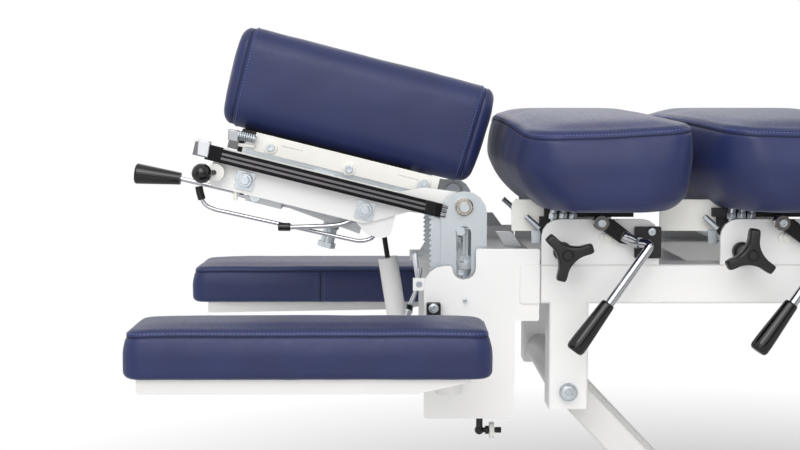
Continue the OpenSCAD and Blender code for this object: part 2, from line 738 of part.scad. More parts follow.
module lumbar_lever() cocking_lever(1);
module lumbar_grip() lever_grip(1);
module pelvic_lever() cocking_lever(2);
module pelvic_grip() lever_grip(2);

// Three-lobed tension knobs on their studs. Each web between two lobes is an arc.
knob_turns = [16, 84, 50];
lobe_w = 11.5;
web_in = 12.5;
knob_flange = 8;
function knob_outline(turn) =
    let (lean = 60 - asin(lobe_w / 2 / knob_reach), side_x = knob_reach * cos(lean) - web_in,
         side_y = knob_reach * sin(lean), r = (side_x * side_x + side_y * side_y) / (2 * side_x),
         half = asin(side_y / r))
    [for (k = [0:2]) let (a = turn + 120 * k + 60)
        each arc((web_in + r) * [cos(a), sin(a)], r, a + 180 + half, a + 180 - half, 2 * corner_steps)];
module tension_knob(i) color("black") {
    x = plates_x[i] + knob_at.x;
    z = rail_z1 + knob_at.y;
    face = -rail_face_y - knob_face;
    difference() {
        union() {
            bar_y(x, z, boss_r, face - skin, -rail_face_y - panel_t);
            bar_y(x, z, boss_r + edge_r, -rail_face_y - panel_t - knob_flange, -rail_face_y - panel_t);
            xz_plate(face - knob_t, knob_t) translate([x, z]) polygon(knob_outline(knob_turns[i]));
        }
        bar_y(x, z, control_pin_r + fit / 2, -knob_pin_y - skin, cut - rail_face_y);
    }
}
module chest_knob() tension_knob(0);
module lumbar_knob() tension_knob(1);
module pelvic_knob() tension_knob(2);

// Riser bracket: two slotted zinc plates with racks, joined by a cross box on the guide rods
riser_half = 29.5;
riser_top = 19.5;
riser_foot = 205;
riser_face_y = 166;
riser_t = 5;
slot_half = 9.5;
slot_top = 25;
slot_foot = 93;
rack_t = 4;
rack_left = 44;
tooth = 3;
tooth_pitch = 6.7;
tooth_count = 13;
box_half = 18;
box_top = 155;
box_foot = 195;
gas_y = -30;
gas_ahead = 74;
gas_below = 40;
gas_foot = [tilt_x - gas_ahead, tilt_z - box_foot - gas_below];
gas_gap = 9;
gas_lug_t = 4;
gas_lug_r = 12;
gas_pin_r = 5;
gas_eye_half = 7;
module riser_bracket() color("lightsteelblue") difference() {
    x = tilt_x;
    z = tilt_z;
    union() {
        both_plates(riser_face_y, riser_t) difference() {
            polygon(rounded([[x - riser_half, z - riser_foot], [x + riser_half, z - riser_foot],
                             [x + riser_half, z + riser_top], [x - riser_half, z + riser_top]],
                            [0, 0, riser_half - 1, riser_half - 1]));
            translate([x, z - (slot_top + slot_foot) / 2])
                polygon(rounded(box_outline(2 * slot_half, slot_foot - slot_top), slot_half - skin));
            translate([x, z]) circle(d = pivot_bolt_d + fit);
        }
        both_plates(riser_face_y - riser_t, rack_t) polygon(concat(
            [[x - riser_half / 3, z - slot_foot], [x - riser_half / 3, z - slot_top]],
            [[x - rack_left + tooth, z - slot_top + tooth_pitch * 2]],
            [for (i = [0:tooth_count - 1]) let (top = z - slot_top + tooth_pitch * (2 - i))
                each [[x - rack_left, top - tooth_pitch * 0.25], [x - rack_left, top - tooth_pitch * 0.5],
                      [x - rack_left + tooth, top - tooth_pitch * 0.75]]]));
        tube_y(-riser_face_y + riser_t, riser_face_y - riser_t, x, z - (box_top + box_foot) / 2,
               2 * box_half, box_foot - box_top);
        for (side = [-1, 1]) xz_plate(gas_y + side * (gas_gap + gas_lug_t / 2) - gas_lug_t / 2, gas_lug_t) {
            translate(gas_foot) circle(r = gas_lug_r);
            polygon([gas_foot + [0, gas_lug_r], gas_foot + [gas_lug_r / 2, -gas_lug_r],
                     [x - box_half + panel_t, z - box_foot + panel_t],
                     [x - box_half + panel_t, z - box_top - panel_t]]);
        }
        bar_y(gas_foot.x, gas_foot.y, gas_pin_r, gas_y - gas_gap - gas_lug_t, gas_y + gas_gap + gas_lug_t);
    }
    tube_y(riser_t - riser_face_y, riser_face_y - riser_t, x, z - (box_top + box_foot) / 2,
           2 * box_half - 2 * rail_wall, box_foot - box_top - 2 * rail_wall);
    for (side = [-1, 1]) translate([guide_x, side * guide_y, z - riser_foot])
        cylinder(h = riser_foot, r = guide_r + fit / 2);
}

// Tilt bolts: one on each side, through the riser plate and the head arm
tilt_bolt_in = 20;
arm_face_y = 155;
head_arm_t = 5;
module tilt_bolts() color("silver") both_sides() {
    pivot_bolt(tilt_x, tilt_z, riser_face_y, tilt_bolt_in);
    bar_y(tilt_x, tilt_z, pivot_bolt_d * 0.75, skin + head_arm_t - arm_face_y,
          skin + head_arm_t + head_t - arm_face_y);
}

// Ratchet release: a cross shaft with a pawl and a hanging lever at each end
lever_drop = 44;
lever_lean_x = 15.6;
lever_tip_share = 0.77;
pawl_reach = 12;
module riser_release() color("silver") {
    x = release_at.x;
    z = release_at.y;
    bar_y(x, z, release_r, skin - casing_inner_y, casing_inner_y - skin);
    both_plates(riser_face_y - riser_t, rack_t) polygon([
        [x, z - release_r / 2], [x + pawl_reach, z - release_r / 3], [x + pawl_reach, z + release_r / 3],
        [x, z + release_r / 2]]);
    lever_y = tooth - riser_face_y;
    shaft = [x, lever_y, z];
    tip = shaft - [lever_lean_x, 0, lever_drop];
    bar(shaft, tip, release_r / 2);
    bar(shaft + (tip - shaft) * lever_tip_share, tip, release_r);
}

// Gas spring between the riser's lugs and the head section's cross tube
gas_top_a = [-97, -51];
function head_point(p) = [tilt_x + p.x * cos(head_lean) + p.y * sin(head_lean),
                          tilt_z - p.x * sin(head_lean) + p.y * cos(head_lean)];
gas_top = head_point(gas_top_a);
gas_len = norm(gas_top - gas_foot);
gas_lean = atan2(gas_top.x - gas_foot.x, gas_top.y - gas_foot.y);
gas_d = 27;
gas_rod_r = 3.5;
gas_body_share = 0.74;
gas_bore_share = 0.28;
gas_rod_share = 0.56;
module along_gas() {
    translate([gas_foot.x, gas_y, gas_foot.y]) rotate([0, gas_lean, 0]) children();
}
module gas_cylinder() color("white") along_gas() difference() {
    union() {
        bar_y(0, 0, gas_lug_r - panel_t, -gas_eye_half, gas_eye_half);
        cylinder(h = gas_lug_r * 2, r = gas_eye_half);
        translate([0, 0, gas_lug_r * 2])
            cylinder(h = gas_len * gas_body_share - gas_lug_r * 2, d = gas_d);
    }
    bar_y(0, 0, gas_pin_r + fit / 2, -gas_eye_half - cut, gas_eye_half + cut);
    translate([0, 0, gas_len * gas_bore_share]) cylinder(h = gas_len, r = gas_rod_r + fit / 2);
}
module gas_rod() color("black") along_gas() {
    translate([0, 0, gas_len * gas_rod_share]) cylinder(h = gas_len * (1 - gas_rod_share), r = gas_rod_r);
    bar_y(0, gas_len, gas_lug_r - tab_t, -gas_eye_half, gas_eye_half);
}

// Head section. Its pieces are drawn level, with the tilt pivot at the origin, and then leaned.
module head_place() {
    translate([tilt_x, 0, tilt_z]) rotate([0, head_lean, 0]) children();
}
arm_left = -325;
arm_low = -53;
arm_hub_r = 17;
arm_top = -2;
// Where the arm's lower edge leaves the level, and its shoulder and waist beside the hub
arm_rise_x = [-118, -66];
arm_rise_z = -24;
arm_shoulder = [-54, 11];
arm_waist_x = -84;
// The bail plates inside the arms
bail_plate_x = [-140, -112, -82];
bail_plate_z = [-28, -46, -66];
bail_pivot = [-118, -48];
bail_y = 141;
bail_r = 2.5;
bail_shaft_r = 3;
pan_y = 135;
cross_r = 7;
module head_arms() color("white") head_place() {
    both_plates(arm_face_y, head_arm_t) difference() {
        union() {
            polygon(rounded([[arm_left, arm_top], [arm_left, arm_low], [arm_rise_x[0], arm_low],
                             [arm_rise_x[1], arm_rise_z], [0, -arm_hub_r], [0, arm_hub_r], arm_shoulder,
                             [arm_waist_x, arm_top]],
                            [2 * edge_r, 3 * edge_r, arm_hub_r, 4 * edge_r, 0, 0, arm_hub_r, 3 * edge_r]));
            circle(r = arm_hub_r);
        }
        circle(d = pivot_bolt_d + fit);
    }
    both_plates(arm_face_y - head_arm_t, head_arm_t) difference() {
        polygon(rounded([[bail_plate_x[0], bail_plate_z[0]], [bail_plate_x[0], bail_plate_z[1]],
                         [bail_plate_x[1], bail_plate_z[2]], [bail_plate_x[2], bail_plate_z[2]],
                         [bail_plate_x[2], bail_plate_z[0]]],
                        [edge_r, 2 * edge_r, 4 * edge_r, 4 * edge_r, edge_r]));
        translate(bail_pivot) circle(r = bail_shaft_r + fit / 2);
    }
    lug_side = gas_gap + gas_lug_t / 2;
    cross_end = arm_face_y - 2 * head_arm_t + panel_t;
    bar_y(gas_top_a.x, gas_top_a.y, cross_r, -cross_end, gas_y - gas_gap - gas_lug_t);
    bar_y(gas_top_a.x, gas_top_a.y, cross_r, gas_y + gas_gap + gas_lug_t, cross_end);
    for (side = [-1, 1]) xz_plate(gas_y + side * lug_side - gas_lug_t / 2, gas_lug_t)
        translate(gas_top_a) circle(r = gas_lug_r);
}

// Pan under the head arms: a housing at the head end and a channel that deepens to the foot end
pan_left = -248;
pan_right = -121;
pan_deep = 16;
pan_wall = 2;
housing_left = -274;
housing_right = -227;
housing_t = 8;
module head_pan() color("gainsboro") head_place() {
    inner_y = arm_face_y - head_arm_t;
    box(housing_left, housing_right, -inner_y, inner_y, arm_low - housing_t, arm_low);
    difference() {
        xz_plate(-pan_y, 2 * pan_y) polygon([[pan_left, arm_low - panel_t], [pan_left, arm_low],
            [pan_right, arm_low], [pan_right, arm_low - pan_deep]]);
        xz_plate(pan_wall - pan_y, 2 * (pan_y - pan_wall)) polygon([
            [housing_right + pan_wall, arm_low + cut], [pan_right - pan_wall, arm_low + cut],
            [pan_right - pan_wall, arm_low - pan_deep + 2 * pan_wall],
            [housing_right + pan_wall, arm_low - pan_wall]]);
    }
    both_sides()
        box(pan_left, bail_plate_x[0] - skin, pan_y - pan_wall, inner_y, arm_low - pan_wall, arm_low);
    translate([spring_x, spring_y, arm_low - spring_pad]) cylinder(h = spring_pad / 2, r = spring_r * 1.2);
}

// Zinc spring tube and nut under the pan
spring_x = -160;
spring_y = -110;
spring_r = 9;
spring_len = 46;
spring_pad = 20;
module spring_tube() color("silver") head_place() translate([spring_x, spring_y, 0]) {
    translate([0, 0, arm_low - spring_len]) cylinder(h = spring_len - spring_pad, r = spring_r);
    translate([0, 0, arm_low - spring_len]) cylinder(h = nut_h, r = 1.3 * spring_r, $fn = 6);
}

// Slide rails outside the head arms, with chrome strips, end blocks and prongs
slide_face_y = 173;
slide_t = 6;
slide_right = -47;
slide_left = slide_right - slide_len;
slide_low = -20.5;
slide_h = 17.5;
groove_h = 3;
groove_d = 1.5;
block_len = 20;
cap_len = 16;
module slide_rails() color("black") head_place() both_sides() {
    step = slide_h / 3;
    difference() {
        box(slide_left, slide_right, -slide_face_y, slide_t - slide_face_y, slide_low, slide_low + slide_h);
        for (k = [1, 2]) box(slide_left - cut, slide_right + cut, -slide_face_y - cut,
            groove_d - slide_face_y, slide_low + k * step - groove_h / 2,
            slide_low + k * step + groove_h / 2);
    }
    box(slide_left - block_len, slide_left, -slide_face_y, slide_t - slide_face_y,
        slide_low, slide_low + slide_h + panel_t);
    box(slide_right, slide_right + block_len, -slide_face_y, slide_t - slide_face_y,
        slide_low, slide_low + slide_h);
}
module slide_fittings() color("silver") head_place() both_sides() {
    step = slide_h / 3;
    for (k = [1, 2]) box(slide_left, slide_right, -slide_face_y, groove_d - slide_face_y,
        slide_low + k * step - groove_h / 2, slide_low + k * step + groove_h / 2);
    box(slide_left - block_len - cap_len, slide_left - block_len, -slide_face_y, slide_t - slide_face_y,
        slide_low + panel_t, slide_low + slide_h + panel_t);
    for (k = [0:2])
        translate([slide_right + block_len, slide_t / 2 - slide_face_y, slide_low + (k + 0.5) * step])
            rotate([0, 90, 0]) cylinder(h = nut_h, r = panel_t);
    for (x = [slide_left + block_len, (slide_left + slide_right) / 2, slide_right - 3 * block_len])
        box(x, x + block_len, slide_t - slide_face_y, -arm_face_y,
            slide_low + panel_t, slide_low + slide_h - panel_t);
}

// Hex bolts on square washers through the head arms, and the tension lever's hub
bolts_x = [-279.5, -121.3];
bolt_z = -36;
square_half = 12;
hub_at = [-317, -34];
hub_r = 11;
hub_len = 14;
module head_bolts() color("silver") head_place() {
    both_sides() for (x = bolts_x) {
        xz_plate(-arm_face_y - panel_t, panel_t) translate([x, bolt_z])
            polygon(rounded(box_outline(2 * square_half, 2 * square_half), panel_t));
        translate([x, -arm_face_y - panel_t, bolt_z]) rotate([90, 0, 0])
            cylinder(h = nut_h, r = nut_r, $fn = 6);
    }
    bar_y(hub_at.x, hub_at.y, control_pin_r, hub_cap - arm_face_y - hub_len, -arm_face_y);
    bar_y(handle_hub.x, handle_hub.y, handle_pin_r, head_arm_t - arm_face_y, handle_y + 2 * handle_rod_r);
}
ball_offset = [-13, -26, -3];
ball_grip_r = 12.5;
stem_r = 3.5;
module tension_ball() color("black") head_place() {
    face = -arm_face_y - skin;
    ball = [hub_at.x, face - hub_len, hub_at.y] + ball_offset;
    difference() {
        union() {
            bar_y(hub_at.x, hub_at.y, hub_r, face - hub_len, face);
            bar([hub_at.x, face - hub_len + hub_cap / 2, hub_at.y], ball, stem_r);
            translate(ball) sphere(r = ball_grip_r);
        }
        bar_y(hub_at.x, hub_at.y, control_pin_r + fit / 2, hub_cap + face - hub_len - skin, face + cut);
    }
}

// Carriage between the head arms: it slides on four blocks and carries the drop hinge of the head plates
carriage_y = 130;
carriage_t = 4;
carriage_left = -290;
carriage_right = -46;
drop_at = [-56, 12];
drop_pin_r = 4;
shoe_len = 30;
shoe_h = 4.5;
shoes_x = [-200, -90];
carriage_low = -9;
carriage_h = 18;
carriage_bar = 12;
module head_carriage() color("silver") head_place() {
    low = carriage_low;
    both_plates(carriage_y, carriage_t) {
        polygon([[carriage_left, low], [carriage_right, low], [carriage_right, low + carriage_h],
                 [carriage_left, low + carriage_h]]);
        translate(drop_at) circle(r = 1.5 * drop_pin_r);
    }
    for (x = [carriage_left + carriage_bar, drop_at.x - carriage_bar])
        box(x, x + carriage_bar, -carriage_y, carriage_y, low + carriage_t,
            low + carriage_t + carriage_bar / 2);
    both_sides() {
        for (x = shoes_x)
            box(x, x + shoe_len, head_arm_t + skin - arm_face_y, -carriage_y, low, low + shoe_h);
        bar_y(drop_at.x, drop_at.y, drop_pin_r, -plates_face_y - skin, -carriage_y);
        translate([drop_at.x, -plates_face_y - skin, drop_at.y]) rotate([90, 0, 0])
            cylinder(h = drop_pin_r, r = 2 * drop_pin_r);
    }
}

// Plates, board and the two cushions that drop together
plates_face_y = 138;
plates_t = 4;
plates_left = -281;
plates_right = -37;
plates_low = 3;
cushion_low = 27;
tabs_x = [-246, -91];
tab_len = 27;
tab_h = 9;
module head_plates() color("ivory") head_place() {
    both_plates(plates_face_y, plates_t) difference() {
        polygon(rounded([[plates_left, plates_low], [plates_right, plates_low], [plates_right, cushion_low],
                         [plates_left, cushion_low]], [edge_r, edge_r, 0, 0]));
        translate(drop_at) circle(r = drop_pin_r + fit / 2);
    }
    both_sides() for (x = tabs_x)
        box(x, x + tab_len, -plates_face_y - panel_t / 2, -plates_face_y, cushion_low - tab_h,
            cushion_low - panel_t);
}
head_board_t = 8;
head_board_left = -300;
head_board_right = -76;
module head_board() color("dimgray") head_place()
    box(head_board_left, head_board_right, plates_t - plates_face_y, plates_face_y - plates_t,
        cushion_low - head_board_t, cushion_low);

head_edge = 20;
head_ring_shares = [[0.5, 0.5, 0, 0], [0.25, 0.1, 0.06, 0], [0.05, 0, 0.25, 0], [-0.25, -0.05, 0.5, 0],
                    [-0.2, 0, 0.75, 0], [0.05, 0.1, 0.92, 0], [0.3, 0.35, 0.985, 0], [0.8, 0.8, 1, 0.3],
                    [2.5, 1.7, 1, 0.9]];
head_round = 14;
head_slope = 8;
head_puff = 3;
head_end_out = 8;
foot_end_out = 3;
module head_cushion() {
    inner = face_gap / 2;
    ends = [-head_len - head_end_out, foot_end_out];
    head_place() padded(ends, [-head_half_w, -inner], head_round, [0, 0], cushion_low,
        head_tall - head_slope - head_puff, 0, -head_slope, head_puff, head_edge, head_ring_shares);
}
module head_cushion_near() color("midnightblue") head_cushion();
module head_cushion_far() color("midnightblue") mirror([0, 1, 0]) head_cushion();

// Bail under the head section: a cross shaft, and on each side a rod that ends in an upturned grip
bail_end = [-322, -85];
bail_tip = [-338, -60];
bail_sleeve_r = 4;
bail_knee = [3, -34];
bail_grip_share = 0.4;
module head_bail() color("silver") head_place() {
    bail_shaft_y = arm_face_y - head_arm_t - skin;
    bar_y(bail_pivot.x, bail_pivot.y, bail_shaft_r, -bail_shaft_y, bail_shaft_y);
    both_sides() {
        low = [bail_pivot.x + bail_knee.x, -bail_y, bail_pivot.y + bail_knee.y];
        elbow = [bail_end.x, -bail_y, bail_end.y];
        tip = [bail_tip.x, -bail_y, bail_tip.y];
        bar([bail_pivot.x, -bail_y, bail_pivot.y], low, bail_r);
        bar(low, elbow, bail_r);
        bar(elbow, tip, bail_r);
        bar(elbow + (tip - elbow) * bail_grip_share, tip, bail_sleeve_r);
        for (p = [low, elbow]) bend(p, bail_r);
    }
}

// Cocking handle of the head drop: hub, rod and tapered grip
handle_y = -120;
handle_hub = [-262, -38];
handle_hub_r = 8;
handle_bend = [-283, -55];
handle_neck = [-365, -56.5];
handle_tip = [-424, -64];
handle_rod_r = 3;
handle_pin_r = 3.5;
grip_neck_r = 8;
grip_tip_r = 13.5;
module head_handle() color("black") head_place() {
    points = [for (p = [handle_hub, handle_bend, handle_neck, handle_tip]) [p.x, handle_y, p.y]];
    start = points[0] + unit(points[1] - points[0]) * handle_hub_r * 0.7;
    difference() {
        union() {
            bar_y(handle_hub.x, handle_hub.y, handle_hub_r, handle_y - handle_rod_r,
                  handle_y + handle_rod_r);
            bar(start, points[1], handle_rod_r);
            bar(points[1], points[2], handle_rod_r);
            bend(points[1], handle_rod_r);
        }
        bar_y(handle_hub.x, handle_hub.y, handle_pin_r + fit / 2, handle_y - 2 * handle_rod_r,
              handle_y + 2 * handle_rod_r);
    }
    way = points[3] - points[2];
    translate(points[2]) rotate([0, acos(way.z / norm(way)), atan2(way.y, way.x)]) rotate_extrude()
        polygon(concat([[0, 0], [grip_neck_r, 0]],
                       arc([grip_tip_r - grip_round, norm(way) - grip_round], grip_round, 0, 90,
                           corner_steps),
                       [[0, norm(way)]]));
}

// Armrests: a post slides in a sleeve on the casing, and the tray swings on the post's neck
post_r = 12.5;
neck_r = 8;
sleeve_r = 17;
sleeve_drop = 109;
sleeve_top = 33;
post_ahead = 20;
post_x = tilt_x - post_ahead;
neck_drop = 28;
hub_h = 10;
arm_strap_w = 28;
strap_t = 6;
tray_in = 12;
tray_out = 20;
tray_h = 17;
tray_w = 100;
tray_wall = 2.5;
tray_curve = 61;
armrest_over = 38;
armrest_left = armrest_over - armrest_len;
armrest_y0 = 51;
armrest_z0 = rail_z0 - armrest_drop;
module armrest_sleeves() color("white") both_sides() difference() {
    union() {
        translate([post_x, -armrest_post_y, rail_z0 - sleeve_drop])
            cylinder(h = sleeve_drop - sleeve_top, r = sleeve_r);
        box(post_x - post_r, post_x + post_r, -armrest_post_y, -casing_face_y,
            rail_z0 - sleeve_drop, rail_z0 - sleeve_top);
    }
    translate([post_x, -armrest_post_y, rail_z0 - sleeve_drop - cut])
        cylinder(h = sleeve_drop, r = post_r + fit / 2);
}
module armrest_post(side) color("silver") translate([post_x, side * armrest_post_y, 0]) {
    translate([0, 0, rail_z0 - sleeve_drop + panel_t])
        cylinder(h = sleeve_drop - neck_drop - panel_t, r = post_r);
    translate([0, 0, rail_z0 - neck_drop]) cylinder(h = hub_h + 2 * skin, r = neck_r);
    translate([0, 0, rail_z0 - neck_drop + hub_h + 2 * skin]) cylinder(h = tooth, r = post_r);
}
// Near armrest, drawn from the post's axis with its cushion on the outer side
module armrest_tray() {
    z1 = armrest_z0;
    z0 = z1 - tray_h;
    x0 = armrest_left + tray_in;
    x1 = armrest_left + armrest_len - tray_out;
    y0 = -armrest_y0 - (armrest_w + tray_w) / 2;
    y1 = y0 + tray_w;
    strap_z = rail_z0 - neck_drop + skin;
    strap_y = -armrest_y0 + panel_t / 2 + strap_t;
    difference() {
        xz_plate(y0, tray_w) polygon(rounded(
            [[x0, z0], [x1 - tray_curve, z0], [x1, z1 - tab_t], [x1, z1], [x0, z1]],
            [edge_r, tray_curve / 2, 0, 0, 0]));
        xz_plate(y0 + tray_wall, tray_w - 2 * tray_wall) polygon([
            [x0 + tray_wall, z0 + tray_wall], [x1 - tray_curve, z0 + tray_wall],
            [x1 - 2 * tab_t, z1 - tray_wall], [x1 - 2 * tab_t, z1 + cut], [x0 + tray_wall, z1 + cut]]);
    }
    difference() {
        union() {
            translate([0, 0, strap_z]) cylinder(h = hub_h, r = sleeve_r);
            box(-arm_strap_w / 2, arm_strap_w / 2, strap_y, 0, strap_z, strap_z + hub_h - panel_t);
        }
        translate([0, 0, strap_z - cut]) cylinder(h = hub_h + 2 * cut, r = neck_r + fit / 2);
    }
    box(-arm_strap_w / 2, arm_strap_w / 2, strap_y - strap_t, strap_y,
        z1 - tray_h / 2 - strap_t, strap_z + hub_h - panel_t);
    box(-arm_strap_w / 2, arm_strap_w / 2, y1 - panel_t / 2, strap_y - strap_t,
        z1 - tray_h / 2 - strap_t, z1 - tray_h / 2);
}
armrest_edge = 20;
armrest_ring_shares = [[0.25, 0.2, 0, 0], [0.05, 0.05, 0.07, 0], [0, 0, 0.35, 0], [0, 0, 0.7, 0],
                       [0.15, 0.1, 0.8, 0], [0.25, 0.25, 0.93, 0], [0.6, 0.6, 1, 0], [2, 1.5, 1, 0.8]];
armrest_round = 22;
armrest_puff = 3;
module armrest_cushion() {
    padded([armrest_left, armrest_left + armrest_len], [-armrest_y0 - armrest_w, -armrest_y0],
           armrest_round, [0, 0], armrest_z0, armrest_h - armrest_puff, 0, 0, armrest_puff,
           armrest_edge, armrest_ring_shares);
}
module near_armrest() {
    translate([post_x, -armrest_post_y, 0]) children();
}
module far_armrest() {
    translate([post_x, armrest_post_y, 0]) rotate(far_swing) mirror([0, 1, 0]) children();
}
module near_armrest_post() armrest_post(-1);
module far_armrest_post() armrest_post(1);
module near_armrest_tray() color("white") near_armrest() armrest_tray();
module far_armrest_tray() color("white") far_armrest() armrest_tray();
module near_armrest_cushion() color("midnightblue") near_armrest() armrest_cushion();
module far_armrest_cushion() color("midnightblue") far_armrest() armrest_cushion();

base_frame();
levelling_feet();
base_pivot_bolts();
head_lift_arms();
foot_lift_arms();
actuator_housing();
actuator_rod();
top_frame();
section_plates();
lift_pivot_bolts();
casing_plates();
riser_guides();
catch_blocks();
ball_link();
drop_adjusters();
control_pins();
armrest_sleeves();
leg_board();
leg_cushion();
chest_board();
chest_cushion();
lumbar_board();
lumbar_cushion();
pelvic_board();
pelvic_cushion();
chest_lever();
chest_grip();
lumbar_lever();
lumbar_grip();
pelvic_lever();
pelvic_grip();
chest_knob();
lumbar_knob();
pelvic_knob();
riser_bracket();
tilt_bolts();
riser_release();
gas_cylinder();
gas_rod();
head_arms();
head_pan();
slide_rails();
slide_fittings();
spring_tube();
head_bolts();
head_carriage();
head_plates();
head_board();
head_cushion_near();
head_cushion_far();
head_bail();
head_handle();
tension_ball();
near_armrest_post();
near_armrest_tray();
near_armrest_cushion();
far_armrest_post();
far_armrest_tray();
far_armrest_cushion();
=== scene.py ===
# %% [markdown]
# This lesson dresses a chiropractic table: a steel frame on a parallel-arm lift, a deck of padded
# sections, a split head section on slides and two padded armrests.
# The steel is already drawn by the frame that is loaded here, at its real size. What is left to
# Blender is the upholstery, the finish of every surface and the small fittings.

# %% Load the frame
import json
import math

import bmesh
import bpy
import numpy as np
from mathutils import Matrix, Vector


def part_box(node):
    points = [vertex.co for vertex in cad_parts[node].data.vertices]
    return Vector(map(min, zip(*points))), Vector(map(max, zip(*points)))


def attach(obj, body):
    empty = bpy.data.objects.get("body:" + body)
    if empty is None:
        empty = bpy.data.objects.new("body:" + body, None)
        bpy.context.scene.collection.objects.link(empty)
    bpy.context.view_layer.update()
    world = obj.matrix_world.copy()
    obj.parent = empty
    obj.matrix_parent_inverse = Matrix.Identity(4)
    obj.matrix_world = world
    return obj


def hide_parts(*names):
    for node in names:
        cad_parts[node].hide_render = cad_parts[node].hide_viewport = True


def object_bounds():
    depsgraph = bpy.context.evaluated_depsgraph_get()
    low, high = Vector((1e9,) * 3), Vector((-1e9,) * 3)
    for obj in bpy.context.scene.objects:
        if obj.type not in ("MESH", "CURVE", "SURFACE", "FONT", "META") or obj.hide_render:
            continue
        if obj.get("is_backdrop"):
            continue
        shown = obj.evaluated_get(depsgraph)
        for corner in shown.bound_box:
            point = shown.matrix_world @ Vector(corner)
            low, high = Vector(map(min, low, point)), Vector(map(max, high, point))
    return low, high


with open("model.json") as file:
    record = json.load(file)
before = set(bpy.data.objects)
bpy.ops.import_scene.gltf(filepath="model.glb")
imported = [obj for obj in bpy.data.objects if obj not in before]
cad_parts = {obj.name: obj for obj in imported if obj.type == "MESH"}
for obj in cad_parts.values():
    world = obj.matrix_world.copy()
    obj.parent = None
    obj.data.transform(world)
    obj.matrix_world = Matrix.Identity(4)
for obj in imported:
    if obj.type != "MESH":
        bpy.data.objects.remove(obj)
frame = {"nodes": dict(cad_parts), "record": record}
frame_box = [list(map(float, corner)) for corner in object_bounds()]
print("frame box", frame_box)

# %% [markdown]
# The photograph was taken from the near side, a little above the deck, with a long lens. Its
# perspective gives the camera: 1.8 m from the centre line and 0.75 m above the floor.

# %% Camera
CAMERA_PLACE = (-0.576, -1.790, 0.753)
CAMERA_DOWN, CAMERA_TURN = 5.0, 0.3
PIXELS_WIDE, FOCAL_PIXELS = 800, 1277


def placed(name, data):
    """A new object that holds a mesh, a lamp or a camera, linked into the scene."""
    thing = bpy.data.objects.new(name, data)
    bpy.context.collection.objects.link(thing)
    return thing


camera_data = bpy.data.cameras.new("camera")
camera_data.sensor_width = 36
camera_data.lens = FOCAL_PIXELS * camera_data.sensor_width / PIXELS_WIDE
camera = placed("camera", camera_data)
camera.location = CAMERA_PLACE
camera.rotation_euler = (math.radians(90 - CAMERA_DOWN), 0, math.radians(-CAMERA_TURN))
bpy.context.scene.camera = camera
bpy.context.scene.view_settings.view_transform = "Standard"
print("lens", round(camera_data.lens, 2), "mm")

# %% [markdown]
# A material is a small graph of nodes. These helpers add a node, set its inputs and link what is
# given as a socket, so that each finish below reads as a short recipe.

# %% Helpers for node graphs
MATERIALS = {}
WHITE = (1, 1, 1, 1)


def put(tree, socket, value):
    """Links a socket, or sets a plain value."""
    if isinstance(value, bpy.types.NodeSocket):
        tree.links.new(value, socket)
    else:
        socket.default_value = value


def add_node(tree, kind, inputs, out=0, **settings):
    """Adds a node; inputs maps a socket's name or number to a value or a socket to link."""
    node = tree.nodes.new(kind)
    for key, value in settings.items():
        setattr(node, key, value)
    for key, value in inputs.items():
        put(tree, node.inputs[key], value)
    return node.outputs[out]


def new_material(name, **inputs):
    """A material with one Principled shader; inputs set the shader's own sockets."""
    material = MATERIALS[name] = bpy.data.materials.new(name)
    material.use_nodes = True
    tree = material.node_tree
    tree.nodes.clear()
    shader = tree.nodes.new("ShaderNodeBsdfPrincipled")
    tree.nodes.new("ShaderNodeOutputMaterial").name = "output"
    show(tree, shader.outputs[0])
    for key, value in inputs.items():
        shader.inputs[key.replace("_", " ")].default_value = value
    return tree, shader


def show(tree, surface):
    """Makes a shader the one that the material's output shows."""
    tree.links.new(surface, tree.nodes["output"].inputs[0])


def object_place(tree):
    """The point's place in the piece's own coordinates."""
    return add_node(tree, "ShaderNodeTexCoord", {}, out=3)


def noise(tree, scale, detail=2.0, stretch=(1, 1, 1)):
    """Noise on Object coordinates; scale is in waves per metre."""
    place = add_node(tree, "ShaderNodeMapping", {"Vector": object_place(tree), "Scale": stretch})
    return add_node(tree, "ShaderNodeTexNoise", {"Vector": place, "Scale": scale, "Detail": detail})


def spread(tree, value, low, high, to_low, to_high):
    """A value from low to high is stretched to to_low to to_high, and clamped."""
    return add_node(tree, "ShaderNodeMapRange", {0: value, 1: low, 2: high, 3: to_low, 4: to_high})


NOISE_LOW, NOISE_HIGH = 0.3, 0.7


def between(tree, field, low, high):
    """Noise hardly leaves the range from 0.3 to 0.7: this stretches it to low to high."""
    return spread(tree, field, NOISE_LOW, NOISE_HIGH, low, high)


def mixed(tree, factor, one, other):
    """A colour that goes from one to the other with the factor."""
    return add_node(tree, "ShaderNodeMix", {0: factor, 6: one, 7: other}, out=2, data_type="RGBA")


def relief(tree, shader, height, depth, edge=0.0, strength=1.0):
    """Bump from a height between 0 and 1 that stands for depth in metres; edge rounds the edges."""
    inputs = {"Height": height, "Distance": depth, "Strength": strength}
    if edge:
        inputs["Normal"] = add_node(tree, "ShaderNodeBevel", {"Radius": edge}, samples=4)
    put(tree, shader.inputs["Normal"], add_node(tree, "ShaderNodeBump", inputs))


def rgb(red, green, blue):
    """An 8-bit screen colour as the linear colour that renders to it."""
    share = np.array([red, green, blue]) / 255
    linear = np.where(share <= 0.04045, share / 12.92, ((share + 0.055) / 1.055) ** 2.4)
    return (*map(float, linear), 1.0)


def shade(colour, share):
    """A colour whose three parts are multiplied by share."""
    return (*(share * part for part in colour[:3]), 1.0)


print("a middle grey is", rgb(128, 128, 128)[0])

# %% [markdown]
# The room is a white studio. The world lights the table softly from everywhere, a little more from
# above, and shows plain white to the camera and in reflections. The floor is a pale disc that keeps
# the shadow near the table and turns to plain white further out, for the camera only.

